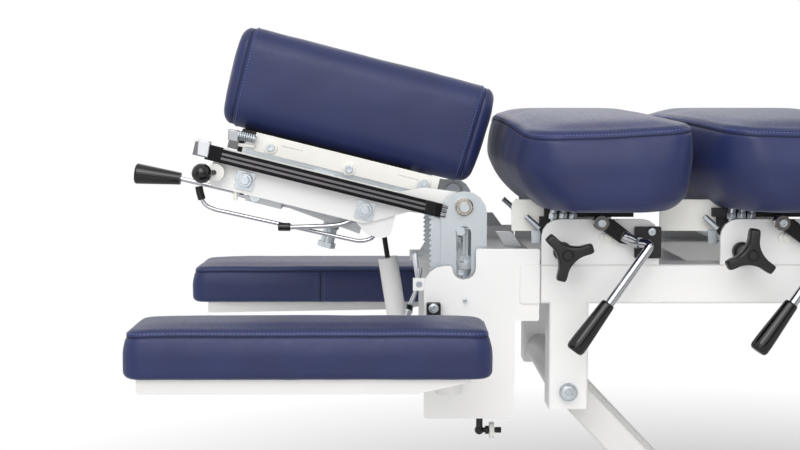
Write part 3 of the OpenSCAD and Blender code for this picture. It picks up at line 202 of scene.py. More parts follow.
# %% World and floor
WORLD_BELOW, WORLD_ABOVE = 0.54, 0.66
FLOOR_RADIUS, FLOOR_SIDES, FLOOR_GREY = 9.0, 96, 0.78
FADE_FROM, FADE_TO = 0.95, 1.7
world = bpy.data.worlds.new("studio")
bpy.context.scene.world = world
world.use_nodes = True
tree = world.node_tree
tree.nodes.clear()
rays = tree.nodes.new("ShaderNodeLightPath").outputs
way = add_node(tree, "ShaderNodeTexCoord", {}, out=0)
height = add_node(tree, "ShaderNodeSeparateXYZ", {0: way}, out=2)
light = spread(tree, height, -0.2, 1, WORLD_BELOW, WORLD_ABOVE)
seen = rays["Is Camera Ray"]
for ray in ("Is Transmission Ray", "Is Glossy Ray"):
    seen = add_node(tree, "ShaderNodeMath", {0: seen, 1: rays[ray]}, operation="MAXIMUM")
background = add_node(tree, "ShaderNodeBackground",
                      {"Color": WHITE, "Strength": spread(tree, seen, 0, 1, light, 1.0)})
tree.links.new(background, tree.nodes.new("ShaderNodeOutputWorld").inputs[0])

tree, shader = new_material("studio_floor", Base_Color=(FLOOR_GREY, FLOOR_GREY, FLOOR_GREY, 1),
                            Roughness=0.9)
away = add_node(tree, "ShaderNodeVectorMath", {0: object_place(tree)}, out=1, operation="LENGTH")
rays = tree.nodes.new("ShaderNodeLightPath").outputs
fade = add_node(tree, "ShaderNodeMath", {0: spread(tree, away, FADE_FROM, FADE_TO, 0, 1),
                                         1: rays["Is Camera Ray"]}, operation="MULTIPLY")
white = add_node(tree, "ShaderNodeEmission", {"Color": WHITE, "Strength": 1.0})
show(tree, add_node(tree, "ShaderNodeMixShader", {0: fade, 1: shader.outputs[0], 2: white}))


def stage_card(name, corners, finish):
    """A flat face of the studio; it isn't part of the table."""
    mesh = bpy.data.meshes.new(name)
    mesh.from_pydata(corners, [], [list(range(len(corners)))])
    mesh.materials.append(MATERIALS[finish])
    card = placed(name, mesh)
    card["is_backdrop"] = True
    return card


turn = np.linspace(0, 2 * np.pi, FLOOR_SIDES, endpoint=False)
rim = np.stack([FLOOR_RADIUS * np.cos(turn), FLOOR_RADIUS * np.sin(turn), 0 * turn], 1)
stage_card("floor", rim.tolist(), "studio_floor")
print("floor radius", FLOOR_RADIUS, "m")

# %% [markdown]
# Three large soft lamps: a key above the camera, a broad one in front and a weak one behind the
# deck. A dark grey card behind the camera and a pale one behind the table give the chrome and the
# polished black something to reflect. Only reflections see them.

# %% Lamps: name, place, diameter and watts
LAMPS = [("key", (-1.0, -2.3, 2.7), 2.2, 30), ("front", (-0.5, -4.0, 1.5), 4.6, 74),
         ("strip", (-0.2, 2.4, 2.2), 2.2, 10)]
AIM = (-0.2, 0.0, 0.55)
for name, where, size, watts in LAMPS:
    lamp = bpy.data.lights.new(name, "AREA")
    lamp.shape, lamp.size, lamp.energy = "DISK", size, watts
    holder = placed(name, lamp)
    holder.location = where
    way = np.array(AIM) - np.array(where)
    flat = math.hypot(way[0], way[1])
    holder.rotation_euler = (math.atan2(flat, -way[2]), 0, math.atan2(way[1], way[0]) - math.pi / 2)
print("lamps", len(LAMPS))

# %% Cards: name, y, lowest and highest z, and level
CARDS = [("front_card", -4.2, 0.0, 2.2, 0.26), ("back_card", 3.2, 0.55, 3.4, 0.97)]
CARD_HALF = 6.0
for name, at, low, high, level in CARDS:
    tree, _ = new_material(name + "_glow")
    show(tree, add_node(tree, "ShaderNodeEmission", {"Color": WHITE, "Strength": level}))
    corners = [(-CARD_HALF, at, low), (CARD_HALF, at, low), (CARD_HALF, at, high), (-CARD_HALF, at, high)]
    card = stage_card(name, corners, name + "_glow")
    for ray in ("camera", "diffuse", "transmission", "volume_scatter", "shadow"):
        setattr(card, "visible_" + ray, False)
print("cards", len(CARDS))

# %% [markdown]
# New pieces are grids of points, worked out as whole arrays. A grid has rows along one parameter and
# columns along the other; where the last column joins the first, it makes a tube. Parts made so are
# joined into one mesh, welded and turned outwards before they become a piece.

# %% Grids
def grid_quads(rows, columns, closed=False, start=0):
    """Corner numbers of a grid's quads, row by row; closed joins the last column to the first."""
    across = columns if closed else columns - 1
    r, c = np.meshgrid(np.arange(rows - 1), np.arange(across), indexing="ij")
    d = (c + 1) % columns
    quads = np.stack([r * columns + c, r * columns + d, (r + 1) * columns + d, (r + 1) * columns + c], -1)
    return (quads.reshape(-1, 4) + start).tolist()


def tube_faces(rows, sides):
    """The quads of a tube and the face at either end."""
    last = (rows - 1) * sides
    return grid_quads(rows, sides, closed=True) + [list(range(sides))[::-1], list(range(last, last + sides))]


def full_turn(sides):
    """Angles once round, evenly apart."""
    return np.linspace(0, 2 * np.pi, sides, endpoint=False)


def circles(middles, across, up, radius, turn):
    """Points round each middle: middle + radius (cos turn across + sin turn up)."""
    round_way = np.cos(turn)[:, None] * across[:, None] + np.sin(turn)[:, None] * up[:, None]
    return middles[:, None] + radius * round_way


def unit(vector):
    """The vector at length 1."""
    vector = np.asarray(vector, float)
    return vector / np.linalg.norm(vector, axis=-1, keepdims=True)


def joined(parts):
    """Points and faces of several parts as one: a part's numbers move past those before it."""
    starts = np.cumsum([0] + [len(points) for points, _ in parts])
    faces = [[corner + start for corner in face]
             for (_, part), start in zip(parts, starts) for face in part]
    return np.concatenate([points for points, _ in parts]), faces


def mirrored(part):
    """The part with y turned to -y, and its faces turned round to match."""
    points, faces = part
    return points * np.array([1, -1, 1]), [face[::-1] for face in faces]


print("a tube of 3 rings and 8 sides has", len(tube_faces(3, 8)), "faces")

# %% [markdown]
# A piece rides on one of the frame's bodies, so it moves with it. It has one finish.

# %% Meshes into pieces
SHARP_ANGLE = math.radians(35)
WELD = 0.00005


def close_up(mesh, gap=WELD):
    """Welds points that lie together and turns every face outwards."""
    shape = bmesh.new()
    shape.from_mesh(mesh)
    bmesh.ops.remove_doubles(shape, verts=shape.verts, dist=gap)
    bmesh.ops.recalc_face_normals(shape, faces=shape.faces)
    shape.to_mesh(mesh)
    shape.free()


def make_piece(name, part, finish, body, sharp=True):
    """A piece from points and faces, in one finish, riding on a body; sharp keeps hard edges."""
    points, faces = part
    mesh = bpy.data.meshes.new(name)
    mesh.from_pydata(points.tolist(), [], faces)
    close_up(mesh)
    mesh.materials.append(MATERIALS[finish])
    mesh.shade_smooth()
    if sharp:
        mesh.set_sharp_from_angle(angle=SHARP_ANGLE)
    piece = placed(name, mesh)
    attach(piece, body)
    return piece


# %% [markdown]
# Powder coat: a smooth, slightly glossy white with the faint orange peel of baked powder. The edges
# of the cut plates catch the light, so the shader rounds them by about half a millimetre.

# %% Powder-coated steel
def powder_coat(name, colour, roughness=0.36):
    """Paint with orange peel about 2 mm across and a trace of uneven gloss."""
    tree, shader = new_material(name, Specular_IOR_Level=0.5)
    cloudy = between(tree, noise(tree, 9, 3), 0, 1)
    put(tree, shader.inputs["Base Color"], mixed(tree, cloudy, shade(colour, 0.97), colour))
    gloss = between(tree, noise(tree, 60, 2), roughness - 0.04, roughness + 0.05)
    put(tree, shader.inputs["Roughness"], gloss)
    relief(tree, shader, noise(tree, 480, 1), 0.00006, edge=0.0006)


powder_coat("white_paint", rgb(240, 239, 238))
# A darker copy of the white paint: painted shade for white parts that the lamps would show too bright.
powder_coat("low_paint", rgb(226, 225, 223))
powder_coat("cream_paint", rgb(236, 235, 229), 0.42)
print("materials so far", len(MATERIALS))

# %% [markdown]
# Zinc plate is a bright, bluish metal with a soft grain from rolling. Chrome is a mirror with fine
# wiping marks. All are metals, so their colour is in the reflection alone.

# %% Plated and bare metals
def plated(name, colour, roughness, grain, depth, stretch=(1, 1, 1)):
    """A metal whose gloss varies with a grain; stretch draws the grain out along an axis."""
    tree, shader = new_material(name, Metallic=1.0)
    fine = noise(tree, grain, 3, stretch)
    put(tree, shader.inputs["Base Color"], mixed(tree, noise(tree, 30, 2), colour, shade(colour, 0.94)))
    put(tree, shader.inputs["Roughness"], between(tree, fine, roughness * 0.85, roughness * 1.2))
    relief(tree, shader, fine, depth, edge=0.0005)


plated("zinc", rgb(210, 217, 222), 0.34, 260, 0.00001, stretch=(1, 1, 6))
plated("yellow_zinc", rgb(196, 188, 176), 0.28, 300, 0.00002)
plated("chrome", rgb(192, 193, 198), 0.09, 700, 0.000004)
plated("roller_steel", rgb(118, 114, 110), 0.32, 300, 0.00002)
plated("dark_steel", rgb(70, 70, 72), 0.34, 400, 0.00002)
plated("grey_aluminium", rgb(178, 180, 183), 0.38, 300, 0.00002, stretch=(0.1, 1, 1))
# A darker grey metal for the slide fittings: painted shade in the narrow gaps between the rails.
plated("groove_metal", rgb(118, 116, 118), 0.3, 500, 0.00001, stretch=(0.05, 1, 1))
plated("black_rail", rgb(34, 33, 35), 0.3, 500, 0.00001, stretch=(0.05, 1, 1))
print("materials so far", len(MATERIALS))

# %% [markdown]
# The grips and knobs are moulded black plastic: the grips are polished, the knobs have a fine
# texture. Rubber, thread and the boards under the cushions are matt.

# %% Plastics, rubber, board and thread
def moulded(name, colour, roughness, grain, depth):
    """Moulded plastic or rubber: one colour, with a fine texture that also varies the gloss."""
    tree, shader = new_material(name, Specular_IOR_Level=0.5)
    fine = noise(tree, grain, 2)
    put(tree, shader.inputs["Base Color"], mixed(tree, noise(tree, 40, 2), colour, shade(colour, 1.35)))
    put(tree, shader.inputs["Roughness"], between(tree, fine, roughness * 0.85, roughness * 1.15))
    relief(tree, shader, fine, depth, edge=0.0006)


moulded("black_plastic", rgb(14, 14, 16), 0.16, 300, 0.00001)
moulded("polished_black", rgb(9, 9, 10), 0.08, 200, 0.000004)
moulded("textured_plastic", rgb(17, 17, 19), 0.4, 1500, 0.00004)
moulded("rubber", rgb(26, 26, 26), 0.75, 900, 0.00005)
moulded("board", rgb(24, 24, 27), 0.7, 500, 0.00006)
moulded("grey_plastic", rgb(150, 152, 156), 0.5, 900, 0.00003)
moulded("thread", rgb(82, 94, 146), 0.6, 2000, 0.00005)
# A dark navy for the lines in the seams: painted shade, not a colour of the leather.
moulded("seam_shade", rgb(16, 20, 44), 0.7, 900, 0.00003)
print("materials so far", len(MATERIALS))

# %% [markdown]
# The vinyl leather is a dark navy. Its grain is a net of small rounded pebbles about a millimetre
# across, with wider soft creases, and the sheen is broad: that is what makes the tops look pale at
# a grazing angle. Voronoi cells give the pebbles.

# %% Leather
def leather(name, colour, pale):
    """Pebbled vinyl: cell distance as height, plus slow unevenness in colour and gloss."""
    tree, shader = new_material(name, Specular_IOR_Level=0.45, Sheen_Weight=0.10, Sheen_Roughness=0.4)
    pebbles = add_node(tree, "ShaderNodeTexVoronoi", {"Vector": object_place(tree), "Scale": 900.0},
                       feature="SMOOTH_F1")
    creases = noise(tree, 220, 4)
    height = add_node(tree, "ShaderNodeMath", {0: pebbles, 1: creases}, operation="ADD")
    slow = between(tree, noise(tree, 14, 3), 0, 1)
    put(tree, shader.inputs["Base Color"], mixed(tree, slow, colour, pale))
    put(tree, shader.inputs["Roughness"], between(tree, creases, 0.40, 0.50))
    relief(tree, shader, height, 0.00016, strength=0.5)


leather("leather", rgb(28, 37, 80), rgb(33, 43, 90))
print("materials", len(MATERIALS))

# %% [markdown]
# Every node of the frame keeps its shape and gets the finish of its slot. A few have a finish of their
# own, with another gloss or tone than the slot's. The armrest trays and the head lift arms take a
# darker copy of the white paint and the slide fittings a dark grey metal: that darkening is painted
# shade.

# %% Finishes of the frame's own pieces
OWN_FINISH = {"catch_blocks": "textured_plastic", "slide_fittings": "groove_metal",
              "head_handle": "polished_black", "tension_ball": "polished_black",
              "near_armrest_tray": "low_paint", "far_armrest_tray": "low_paint",
              "head_lift_arms": "low_paint"}
slot_of = {s["node"]: s["material_slot"] for s in frame["record"]["subparts"]}
for name, piece in frame["nodes"].items():
    finish = MATERIALS[OWN_FINISH.get(name, slot_of[name])]
    if not piece.material_slots:
        piece.data.materials.append(finish)
    for held in piece.material_slots:
        held.material = finish
print("finished nodes", len(frame["nodes"]))

# %% [markdown]
# A stuffed form is worked out on a square of two parameters, u and v, both from -1 to 1. The larger
# of |u| and |v| is the share of the way from the middle to the rim, and u and v over that share name
# a point on the rim. So the square's lines stay straight and bend only near the rounded corners, and
# there is no pole.

# %% The plan of a stuffed form
def rim_point(a, b, half_x, half_y, radius):
    """The point of a rounded rectangle that the square's rim point (a, b) stands for.

    Each side of the square covers a straight stretch and half the arc at either end, by length."""
    def along(t, reach, depth):
        straight = reach - radius
        way = np.abs(t) * (straight + radius * np.pi / 4)
        angle = np.clip((way - straight) / radius, 0, np.pi / 4)
        side = np.where(way < straight, way, straight + radius * np.sin(angle))
        return np.sign(t) * side, np.where(way < straight, depth, depth - radius * (1 - np.cos(angle)))
    end_y, end_x = along(b, half_y, half_x)
    side_x, side_y = along(a, half_x, half_y)
    on_end = np.abs(a) >= np.abs(b)
    return np.where(on_end, np.sign(a) * end_x, side_x), np.where(on_end, end_y, np.sign(b) * side_y)


def plan(u, v, half_x, half_y, radius):
    """Points of the plan: the rim point scaled towards the middle by max(|u|, |v|)."""
    share = np.maximum(np.maximum(np.abs(u), np.abs(v)), 1e-9)
    x, y = rim_point(u / share, v / share, half_x, half_y, radius)
    return x * share, y * share


def rim_walk(u_lines, v_lines):
    """(u, v) once round the rim of the grid."""
    nu, nv = len(u_lines), len(v_lines)
    i = np.concatenate([np.arange(nu - 1), np.full(nv - 1, nu - 1), np.arange(nu - 1, 0, -1),
                        np.zeros(nv - 1, int)])
    j = np.concatenate([np.zeros(nu - 1, int), np.arange(nv - 1), np.full(nu - 1, nv - 1),
                        np.arange(nv - 1, 0, -1)])
    return u_lines[i], v_lines[j]


print("a rim of 4 by 3 lines has", len(rim_walk(np.arange(4), np.arange(3))[0]), "points")

# %% [markdown]
# The outside of a form is a list of rings. Each ring says how far it stands in from the widest
# outline, its share of the side's height and what it stands above that. From the top's rim the
# leather rolls over in a quarter ellipse, sinks into the seam, and then runs down the boxing, the
# strip round the side, which stands full in the middle and tucks in below. The seam is a narrow
# groove between the roll and the boxing's lip.

# %% Rings of a form
SEAM_WIDTH, SEAM_DEPTH = 0.0018, 0.0019
ROLL_TURNS = np.radians([0, 16, 32, 47, 60, 71, 80])
TUCK_TURNS = np.radians([0, 14, 28, 42, 56, 70, 80, 90])
STITCH_RING, GROOVE_RING = 4, len(ROLL_TURNS)
LIP_SHARE, BOXING_TOP = 0.62, 0.955


def roll_rings(roll_in, roll, lip_in, share=1.0, way=1):
    """A quarter ellipse: in = roll_in - (roll_in - lip_in) sin turn, above = roll cos turn."""
    above = way * roll * np.cos(ROLL_TURNS)
    inset = roll_in - (roll_in - lip_in) * np.sin(ROLL_TURNS)
    return np.stack([inset, np.full_like(above, share), above], 1)


def seam_rings(lip_in, share=1.0, way=1):
    """The groove and the lip below it."""
    return np.array([[lip_in + SEAM_DEPTH, share, 0], [lip_in, share, -way * SEAM_WIDTH]])


def boxing_rings(lip_in, tuck_in, tuck_share, count):
    """Down the side: in = lip_in (level over the middle) ^ 1.5, then a quarter ellipse to tuck_in."""
    levels = np.linspace(BOXING_TOP, tuck_share, count)
    full = lip_in * np.clip((levels - LIP_SHARE) / (1 - LIP_SHARE), 0, 1) ** 1.5
    upper = np.stack([full, levels, 0 * levels], 1)
    lower = np.stack([tuck_in * (1 - np.cos(TUCK_TURNS)), tuck_share * (1 - np.sin(TUCK_TURNS)),
                      0 * TUCK_TURNS], 1)
    return np.concatenate([upper, lower[1:]])


print("the groove is ring", GROOVE_RING)

# %% [markdown]
# The form puts its rings in place and closes them with a cap on either side. A cap puffs up from its
# rim within a centimetre or so and then stays nearly flat, as leather does over a slab of foam.

# %% A form's skin
PUFF_REACH = 0.013
RADIUS_FLOOR_SHARE = 0.25


class Form:
    """A stuffed form: its outline, its rings from the top's rim to the underside's, and its place."""

    def __init__(self, half_x, half_y, radius, rings, height, place, up, held_depth, puff, under_puff=0.0,
                 widen=0.0):
        self.half_x, self.half_y, self.radius, self.widen = half_x, half_y, radius, widen
        self.rings, self.height, self.place = rings, height, place
        self.up, self.held_depth = np.array(up), held_depth
        self.puff, self.under_puff = puff, under_puff

    def corner(self, inset, share):
        """Corner radius of a ring: radius - inset, and wider by widen (1 - share) further down."""
        return max(self.radius - inset, RADIUS_FLOOR_SHARE * self.radius) + self.widen * (1 - share)

    def ring(self, u, v, ring, shape=rim_point, rise=0.0):
        """A ring's points: pushed in, raised to their share of the height, and put in place."""
        inset, share, above = ring
        x, y = shape(u, v, self.half_x - inset, self.half_y - inset, self.corner(inset, share))
        return self.place(x, y, share * self.height(x, y) + above + rise, share)

    def cap(self, u, v, ring, puff):
        """A cap: puff (1 - exp(-(1 - |u|) half / reach)), and the same for v, over its ring."""
        near_x, near_y = (1 - np.abs(u)) * self.half_x, (1 - np.abs(v)) * self.half_y
        full = (1 - np.exp(-near_x / PUFF_REACH)) * (1 - np.exp(-near_y / PUFF_REACH))
        return self.ring(u, v, ring, plan, puff * full).reshape(-1, 3)

    def skin(self, cell):
        """The form as one closed skin, with its rings and where they start among its points."""
        counts = [max(4, int(round(2 * half / cell))) for half in (self.half_x, self.half_y)]
        u_lines, v_lines = (np.linspace(-1, 1, count + 1) for count in counts)
        u, v = np.meshgrid(u_lines, v_lines, indexing="ij")
        top = self.cap(u, v, self.rings[0], self.puff)
        under = self.cap(u, v, self.rings[-1], -self.under_puff)
        around = rim_walk(u_lines, v_lines)
        rings = np.stack([self.ring(*around, ring) for ring in self.rings])
        start, count = len(top), len(around[0])
        faces = grid_quads(len(u_lines), len(v_lines))
        faces += grid_quads(len(rings), count, closed=True, start=start)
        faces += grid_quads(len(u_lines), len(v_lines), start=start + len(rings) * count)
        return (np.concatenate([top, rings.reshape(-1, 3), under]), faces), rings, start


print("a cap is full", PUFF_REACH, "m or so from its rim")

# %% [markdown]
# Foam pushes the leather out evenly, but never quite: that is what makes a cushion look stuffed and
# not machined. A coarse copy of the form is filled with air by the Cloth simulation, its underside
# held still. Every point of the fine form then takes the mean move of the coarse points around it,
# so the seams and the fine rings stay as they were drawn.

# %% Filling a form
CLOTH_CELL, CLOTH_WELD, CLOTH_FRAMES = 0.019, 0.0015, 18
CLOTH_PRESSURE, CLOTH_STIFFNESS, CLOTH_BENDING = 2.2, 40, 2.0
MOVE_CAP, MOVE_SHARE, MOVE_REACH = 0.0045, 0.5, 0.013
UNEVEN = 0.0011


def read_vertices(mesh, field):
    """A field of a mesh's vertices, one row each."""
    values = np.empty(3 * len(mesh.vertices))
    mesh.vertices.foreach_get(field, values)
    return values.reshape(-1, 3)


def cloth_moves(form, name, seed):
    """Runs the Cloth on the coarse copy: its rest points, and how far each has moved, capped."""
    (points, faces), _, _ = form.skin(CLOTH_CELL)
    mesh = bpy.data.meshes.new(name)
    mesh.from_pydata(points.tolist(), [], faces)
    close_up(mesh, gap=CLOTH_WELD)
    rest = read_vertices(mesh, "co")
    bumps = np.random.default_rng(seed).normal(0, UNEVEN, len(rest))
    mesh.vertices.foreach_set("co", (rest + bumps[:, None] * read_vertices(mesh, "normal")).ravel())
    pad = placed(name, mesh)
    low = rest @ form.up
    held = pad.vertex_groups.new(name="held")
    held.add(np.nonzero(low < low.min() + form.held_depth)[0].tolist(), 1.0, "REPLACE")
    cloth = pad.modifiers.new("Cloth", "CLOTH")
    cloth.settings.use_pressure = True
    cloth.settings.uniform_pressure_force = CLOTH_PRESSURE
    cloth.settings.vertex_group_mass = "held"
    cloth.settings.tension_stiffness = cloth.settings.compression_stiffness = CLOTH_STIFFNESS
    cloth.settings.bending_stiffness = CLOTH_BENDING
    cloth.settings.effector_weights.gravity = 0
    cloth.collision_settings.use_collision = False
    cloth.point_cache.frame_start, cloth.point_cache.frame_end = 1, CLOTH_FRAMES
    for step in range(1, CLOTH_FRAMES + 1):
        bpy.context.scene.frame_set(step)
    filled = pad.evaluated_get(bpy.context.evaluated_depsgraph_get()).to_mesh()
    moves = read_vertices(filled, "co") - rest
    length = np.linalg.norm(moves, axis=1, keepdims=True)
    moves *= MOVE_SHARE * np.minimum(1, MOVE_CAP / np.maximum(length, 1e-9))
    pad.to_mesh_clear()
    bpy.data.objects.remove(pad)
    bpy.context.scene.frame_set(1)
    return rest, moves


def carried(points, rest, moves, at_once=800):
    """Each point's move: the mean of the coarse moves, weighed by exp(-(distance / reach) squared)."""
    total = np.zeros_like(points)
    for part in np.array_split(np.arange(len(points)), max(1, len(points) // at_once)):
        away = ((points[part, None, :] - rest[None]) ** 2).sum(-1)
        weight = np.exp(-away / MOVE_REACH ** 2) + 1e-12
        total[part] = weight @ moves / weight.sum(1, keepdims=True)
    return total


print("cloth frames", CLOTH_FRAMES)

# %% [markdown]
# Beside each seam runs a row of stitches. One stitch is a short spindle of thread with 17 faces, and
# copies stand along the ring at an even pitch, each turned to the ring's direction. The dark line
# between roll and boxing is painted shade: a thin dark tube at the bottom of the groove.

# %% Stitches and seam lines
STITCH_PITCH, STITCH_LENGTH, STITCH_RADIUS = 0.0042, 0.0029, 0.00062
SPINDLE = [(-0.5, 0.35), (-0.3, 0.9), (0.3, 0.9), (0.5, 0.35)]
SPINDLE_SIDES = 5
SEAM_LINE, SEAM_LIFT, SEAM_SIDES = 0.0007, 0.0006, 6


def stitch_row(ring, outward, closed=True):
    """Spindles along a line of points: resampled by its length, lying on the leather."""
    ends = np.vstack([ring, ring[:1]]) if closed else ring
    normals = np.vstack([outward, outward[:1]]) if closed else outward
    length = np.concatenate([[0], np.cumsum(np.linalg.norm(np.diff(ends, axis=0), axis=1))])
    count = int(length[-1] / STITCH_PITCH)
    at = (np.arange(count) + 0.5) * length[-1] / count
    step = STITCH_PITCH / 3
    middle, before, after, out = (
        np.stack([np.interp(where, length, line[:, k]) for k in range(3)], 1)
        for where, line in ((at, ends), (at - step, ends), (at + step, ends), (at, normals)))
    along, out = unit(after - before), unit(out)
    reach, wide = np.array(SPINDLE).T
    middles = middle[:, None] + reach[:, None] * STITCH_LENGTH * along[:, None]
    copies, rows = middles.shape[:2]
    across, up = (np.repeat(way, rows, axis=0) for way in (np.cross(along, out), out))
    radius = STITCH_RADIUS * np.tile(wide, copies)[:, None, None]
    points = circles(middles.reshape(-1, 3), across, up, radius, full_turn(SPINDLE_SIDES))
    one, size = tube_faces(rows, SPINDLE_SIDES), rows * SPINDLE_SIDES
    faces = [[corner + k * size for corner in face] for k in range(copies) for face in one]
    return points.reshape(-1, 3), faces


def ring_out(rings, k, middle):
    """Outward at ring k: across the ring and down the profile, turned away from the middle."""
    along = np.roll(rings[k], -1, 0) - np.roll(rings[k], 1, 0)
    down = rings[min(k + 1, len(rings) - 1)] - rings[max(k - 1, 0)]
    out = np.cross(along, down)
    return unit(out * np.sign((out * (rings[k] - middle)).sum(1, keepdims=True)))


def seam_shade_line(ring):
    """A thin closed dark tube along a ring: painted shade at the bottom of a seam."""
    along = unit(np.roll(ring, -1, 0) - np.roll(ring, 1, 0))
    across = unit(np.cross(along, np.array([0.03, 0.05, 1.0])))
    points = circles(ring, across, np.cross(along, across), SEAM_LINE, full_turn(SEAM_SIDES))
    points = np.concatenate([points, points[:1]])
    return points.reshape(-1, 3), grid_quads(len(points), SEAM_SIDES, closed=True)


print("stitches to the metre", round(1 / STITCH_PITCH))

# %% [markdown]
# One function makes a whole cushion: the leather, which stands for the frame's plain solid, the dark
# lines of painted shade in its seams, and the thread. The thread is a piece of its own, so it can
# have its own colour.

# %% A cushion
def cushion_piece(name, form, cell, body, node, seed, stitch_rings=(STITCH_RING,), seams=(GROOVE_RING,)):
    """A filled form in place of a node, with the dark lines of painted shade in its seams and its rows of
    stitches.
    """
    (points, faces), rings, start = form.skin(cell)
    rest, moves = cloth_moves(form, name + "_air", seed)
    points = points + carried(points, rest, moves)
    rings = points[start:start + rings.size // 3].reshape(rings.shape)
    piece = make_piece(name, (points, faces), "leather", body, sharp=False)
    smooth = piece.modifiers.new("Subdivision", "SUBSURF")
    smooth.levels = smooth.render_levels = 1
    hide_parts(node)
    middle = points.mean(0)
    lines = [seam_shade_line(rings[k] + SEAM_LIFT * ring_out(rings, k, middle)) for k in seams]
    make_piece(name + "_seam", joined(lines), "seam_shade", body, sharp=False)
    rows = [stitch_row(rings[k], ring_out(rings, k, middle)) for k in stitch_rings]
    make_piece(name + "_stitches", joined(rows), "thread", body, sharp=False)
    print(name, len(points), "points")
    return rings

# %% [markdown]
# The deck has four cushions. Each takes its box from the frame's own solid, so it sits on its board
# and keeps its gap to the next one. The top is crowned across, the ends bow, and the end that faces
# the head is cut back below, where the section before it has room to drop.

# %% Deck cushions
DECK_SIDE, DECK_CROWN = 0.092, 0.0204
DECK_RADIUS, DECK_ROLL_IN, DECK_ROLL, DECK_LIP_IN = 0.040, 0.016, 0.0100, 0.005
DECK_TUCK_IN, DECK_TUCK_SHARE, DECK_PUFF, DECK_WIDEN = 0.027, 0.33, 0.0036, 0.034
DECK_BOXING_ROWS, DECK_HELD = 9, 0.004
LEAD_SHARE, LEAD_POWER = 0.587, 1.35
# Section: bow of both ends, cut of the leading end, how far the other end stands back, rise of the
# seam at both ends, and grid cell.
DECK = {"chest": ((0.022, 0.037), 0.034, 0.015, (-0.0070, 0.0040), 0.007),
        "lumbar": ((0.058, 0.0), 0.036, 0.0, (0.0, 0.0), 0.007),
        "pelvic": ((0.0, 0.0), 0.034, 0.0, (0.0, 0.0), 0.007),
        "leg": ((0.0, -0.030), 0.034, 0.0, (0.0, 0.0), 0.009)}


def deck_form(node, bows, lead, end_back, rise):
    """The form that fits a deck cushion's box, with its bowed ends and the cut-back leading end."""
    (x0, y0, z0), (x1, y1, _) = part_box(node)
    x0, x1 = x0 - min(0, bows[0]), x1 - end_back
    half_x, half_y = (x1 - x0) / 2, (y1 - y0) / 2

    def height(x, y):
        """The seam's height: it rises to the middle with 1 - t squared, and by rise at the ends."""
        s, t = np.clip((x + half_x) / (2 * half_x), 0, 1), y / half_y
        return DECK_SIDE + DECK_CROWN * (1 - t ** 2) + ((1 - s) * rise[0] + s * rise[1]) * t ** 2

    def place(x, y, z, level):
        """Bows both ends with t squared, and cuts the leading end back below."""
        s = np.clip((x + half_x) / (2 * half_x), 0, 1)
        bow = ((1 - s) * bows[0] + s * bows[1]) * (y / half_y) ** 2
        cut = lead * np.clip(1 - level / LEAD_SHARE, 0, 1) ** LEAD_POWER * (1 - s) ** 3
        return np.stack([x + bow + cut + (x0 + x1) / 2, y + (y0 + y1) / 2, z0 + z], -1)

    rings = np.concatenate([roll_rings(DECK_ROLL_IN, DECK_ROLL, DECK_LIP_IN), seam_rings(DECK_LIP_IN),
                            boxing_rings(DECK_LIP_IN, DECK_TUCK_IN, DECK_TUCK_SHARE, DECK_BOXING_ROWS)])
    return Form(half_x, half_y, DECK_RADIUS, rings, height, place, (0, 0, 1.0), DECK_HELD, DECK_PUFF,
                widen=DECK_WIDEN)


for seed, (section, (*shape, cell)) in enumerate(DECK.items()):
    body, node = "top" if section == "leg" else section + "_section", section + "_cushion"
    cushion_piece(section + "_pad", deck_form(node, *shape), cell, body, node, seed)

# %% [markdown]
# The armrest cushions are long flat pads on sheet-steel trays, made the same way. Their seams dip a
# little at both ends, where the leather is pulled over the corners.

# %% Armrest cushions
ARM_ROLL_IN, ARM_ROLL, ARM_LIP_IN, ARM_RADIUS = 0.014, 0.0085, 0.004, 0.022
ARM_SIDE, ARM_TUCK_IN, ARM_TUCK_SHARE, ARM_PUFF = 0.0494, 0.008, 0.17, 0.0015
ARM_DIP, ARM_DIP_REACH, ARM_OVER = 0.0025, 0.03, 0.005
ARM_CELL, ARM_BOXING_ROWS, ARM_HELD, ARM_SEED = 0.006, 6, 0.003, 10


def arm_form(node):
    """The form that fits an armrest cushion's box."""
    (x0, y0, z0), (x1, y1, _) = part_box(node)
    half_x, half_y = (x1 - x0) / 2 + ARM_OVER, (y1 - y0) / 2

    def height(x, y):
        """The seam's height: side - dip exp(-distance from the end over its reach)."""
        return ARM_SIDE - ARM_DIP * np.exp(-(half_x - np.abs(x)) / ARM_DIP_REACH)

    def place(x, y, z, level):
        """Upright, centred on the tray."""
        return np.stack([x + (x0 + x1) / 2, y + (y0 + y1) / 2, z0 + z], -1)

    rings = np.concatenate([roll_rings(ARM_ROLL_IN, ARM_ROLL, ARM_LIP_IN), seam_rings(ARM_LIP_IN),
                            boxing_rings(ARM_LIP_IN, ARM_TUCK_IN, ARM_TUCK_SHARE, ARM_BOXING_ROWS)])
    return Form(half_x, half_y, ARM_RADIUS, rings, height, place, (0, 0, 1.0), ARM_HELD, ARM_PUFF)


for number, side in enumerate(("near", "far")):
    node = side + "_armrest_cushion"
    arm_rings = cushion_piece(side + "_armrest_pad", arm_form(node), ARM_CELL, side + "_armrest", node,
                              ARM_SEED + number)
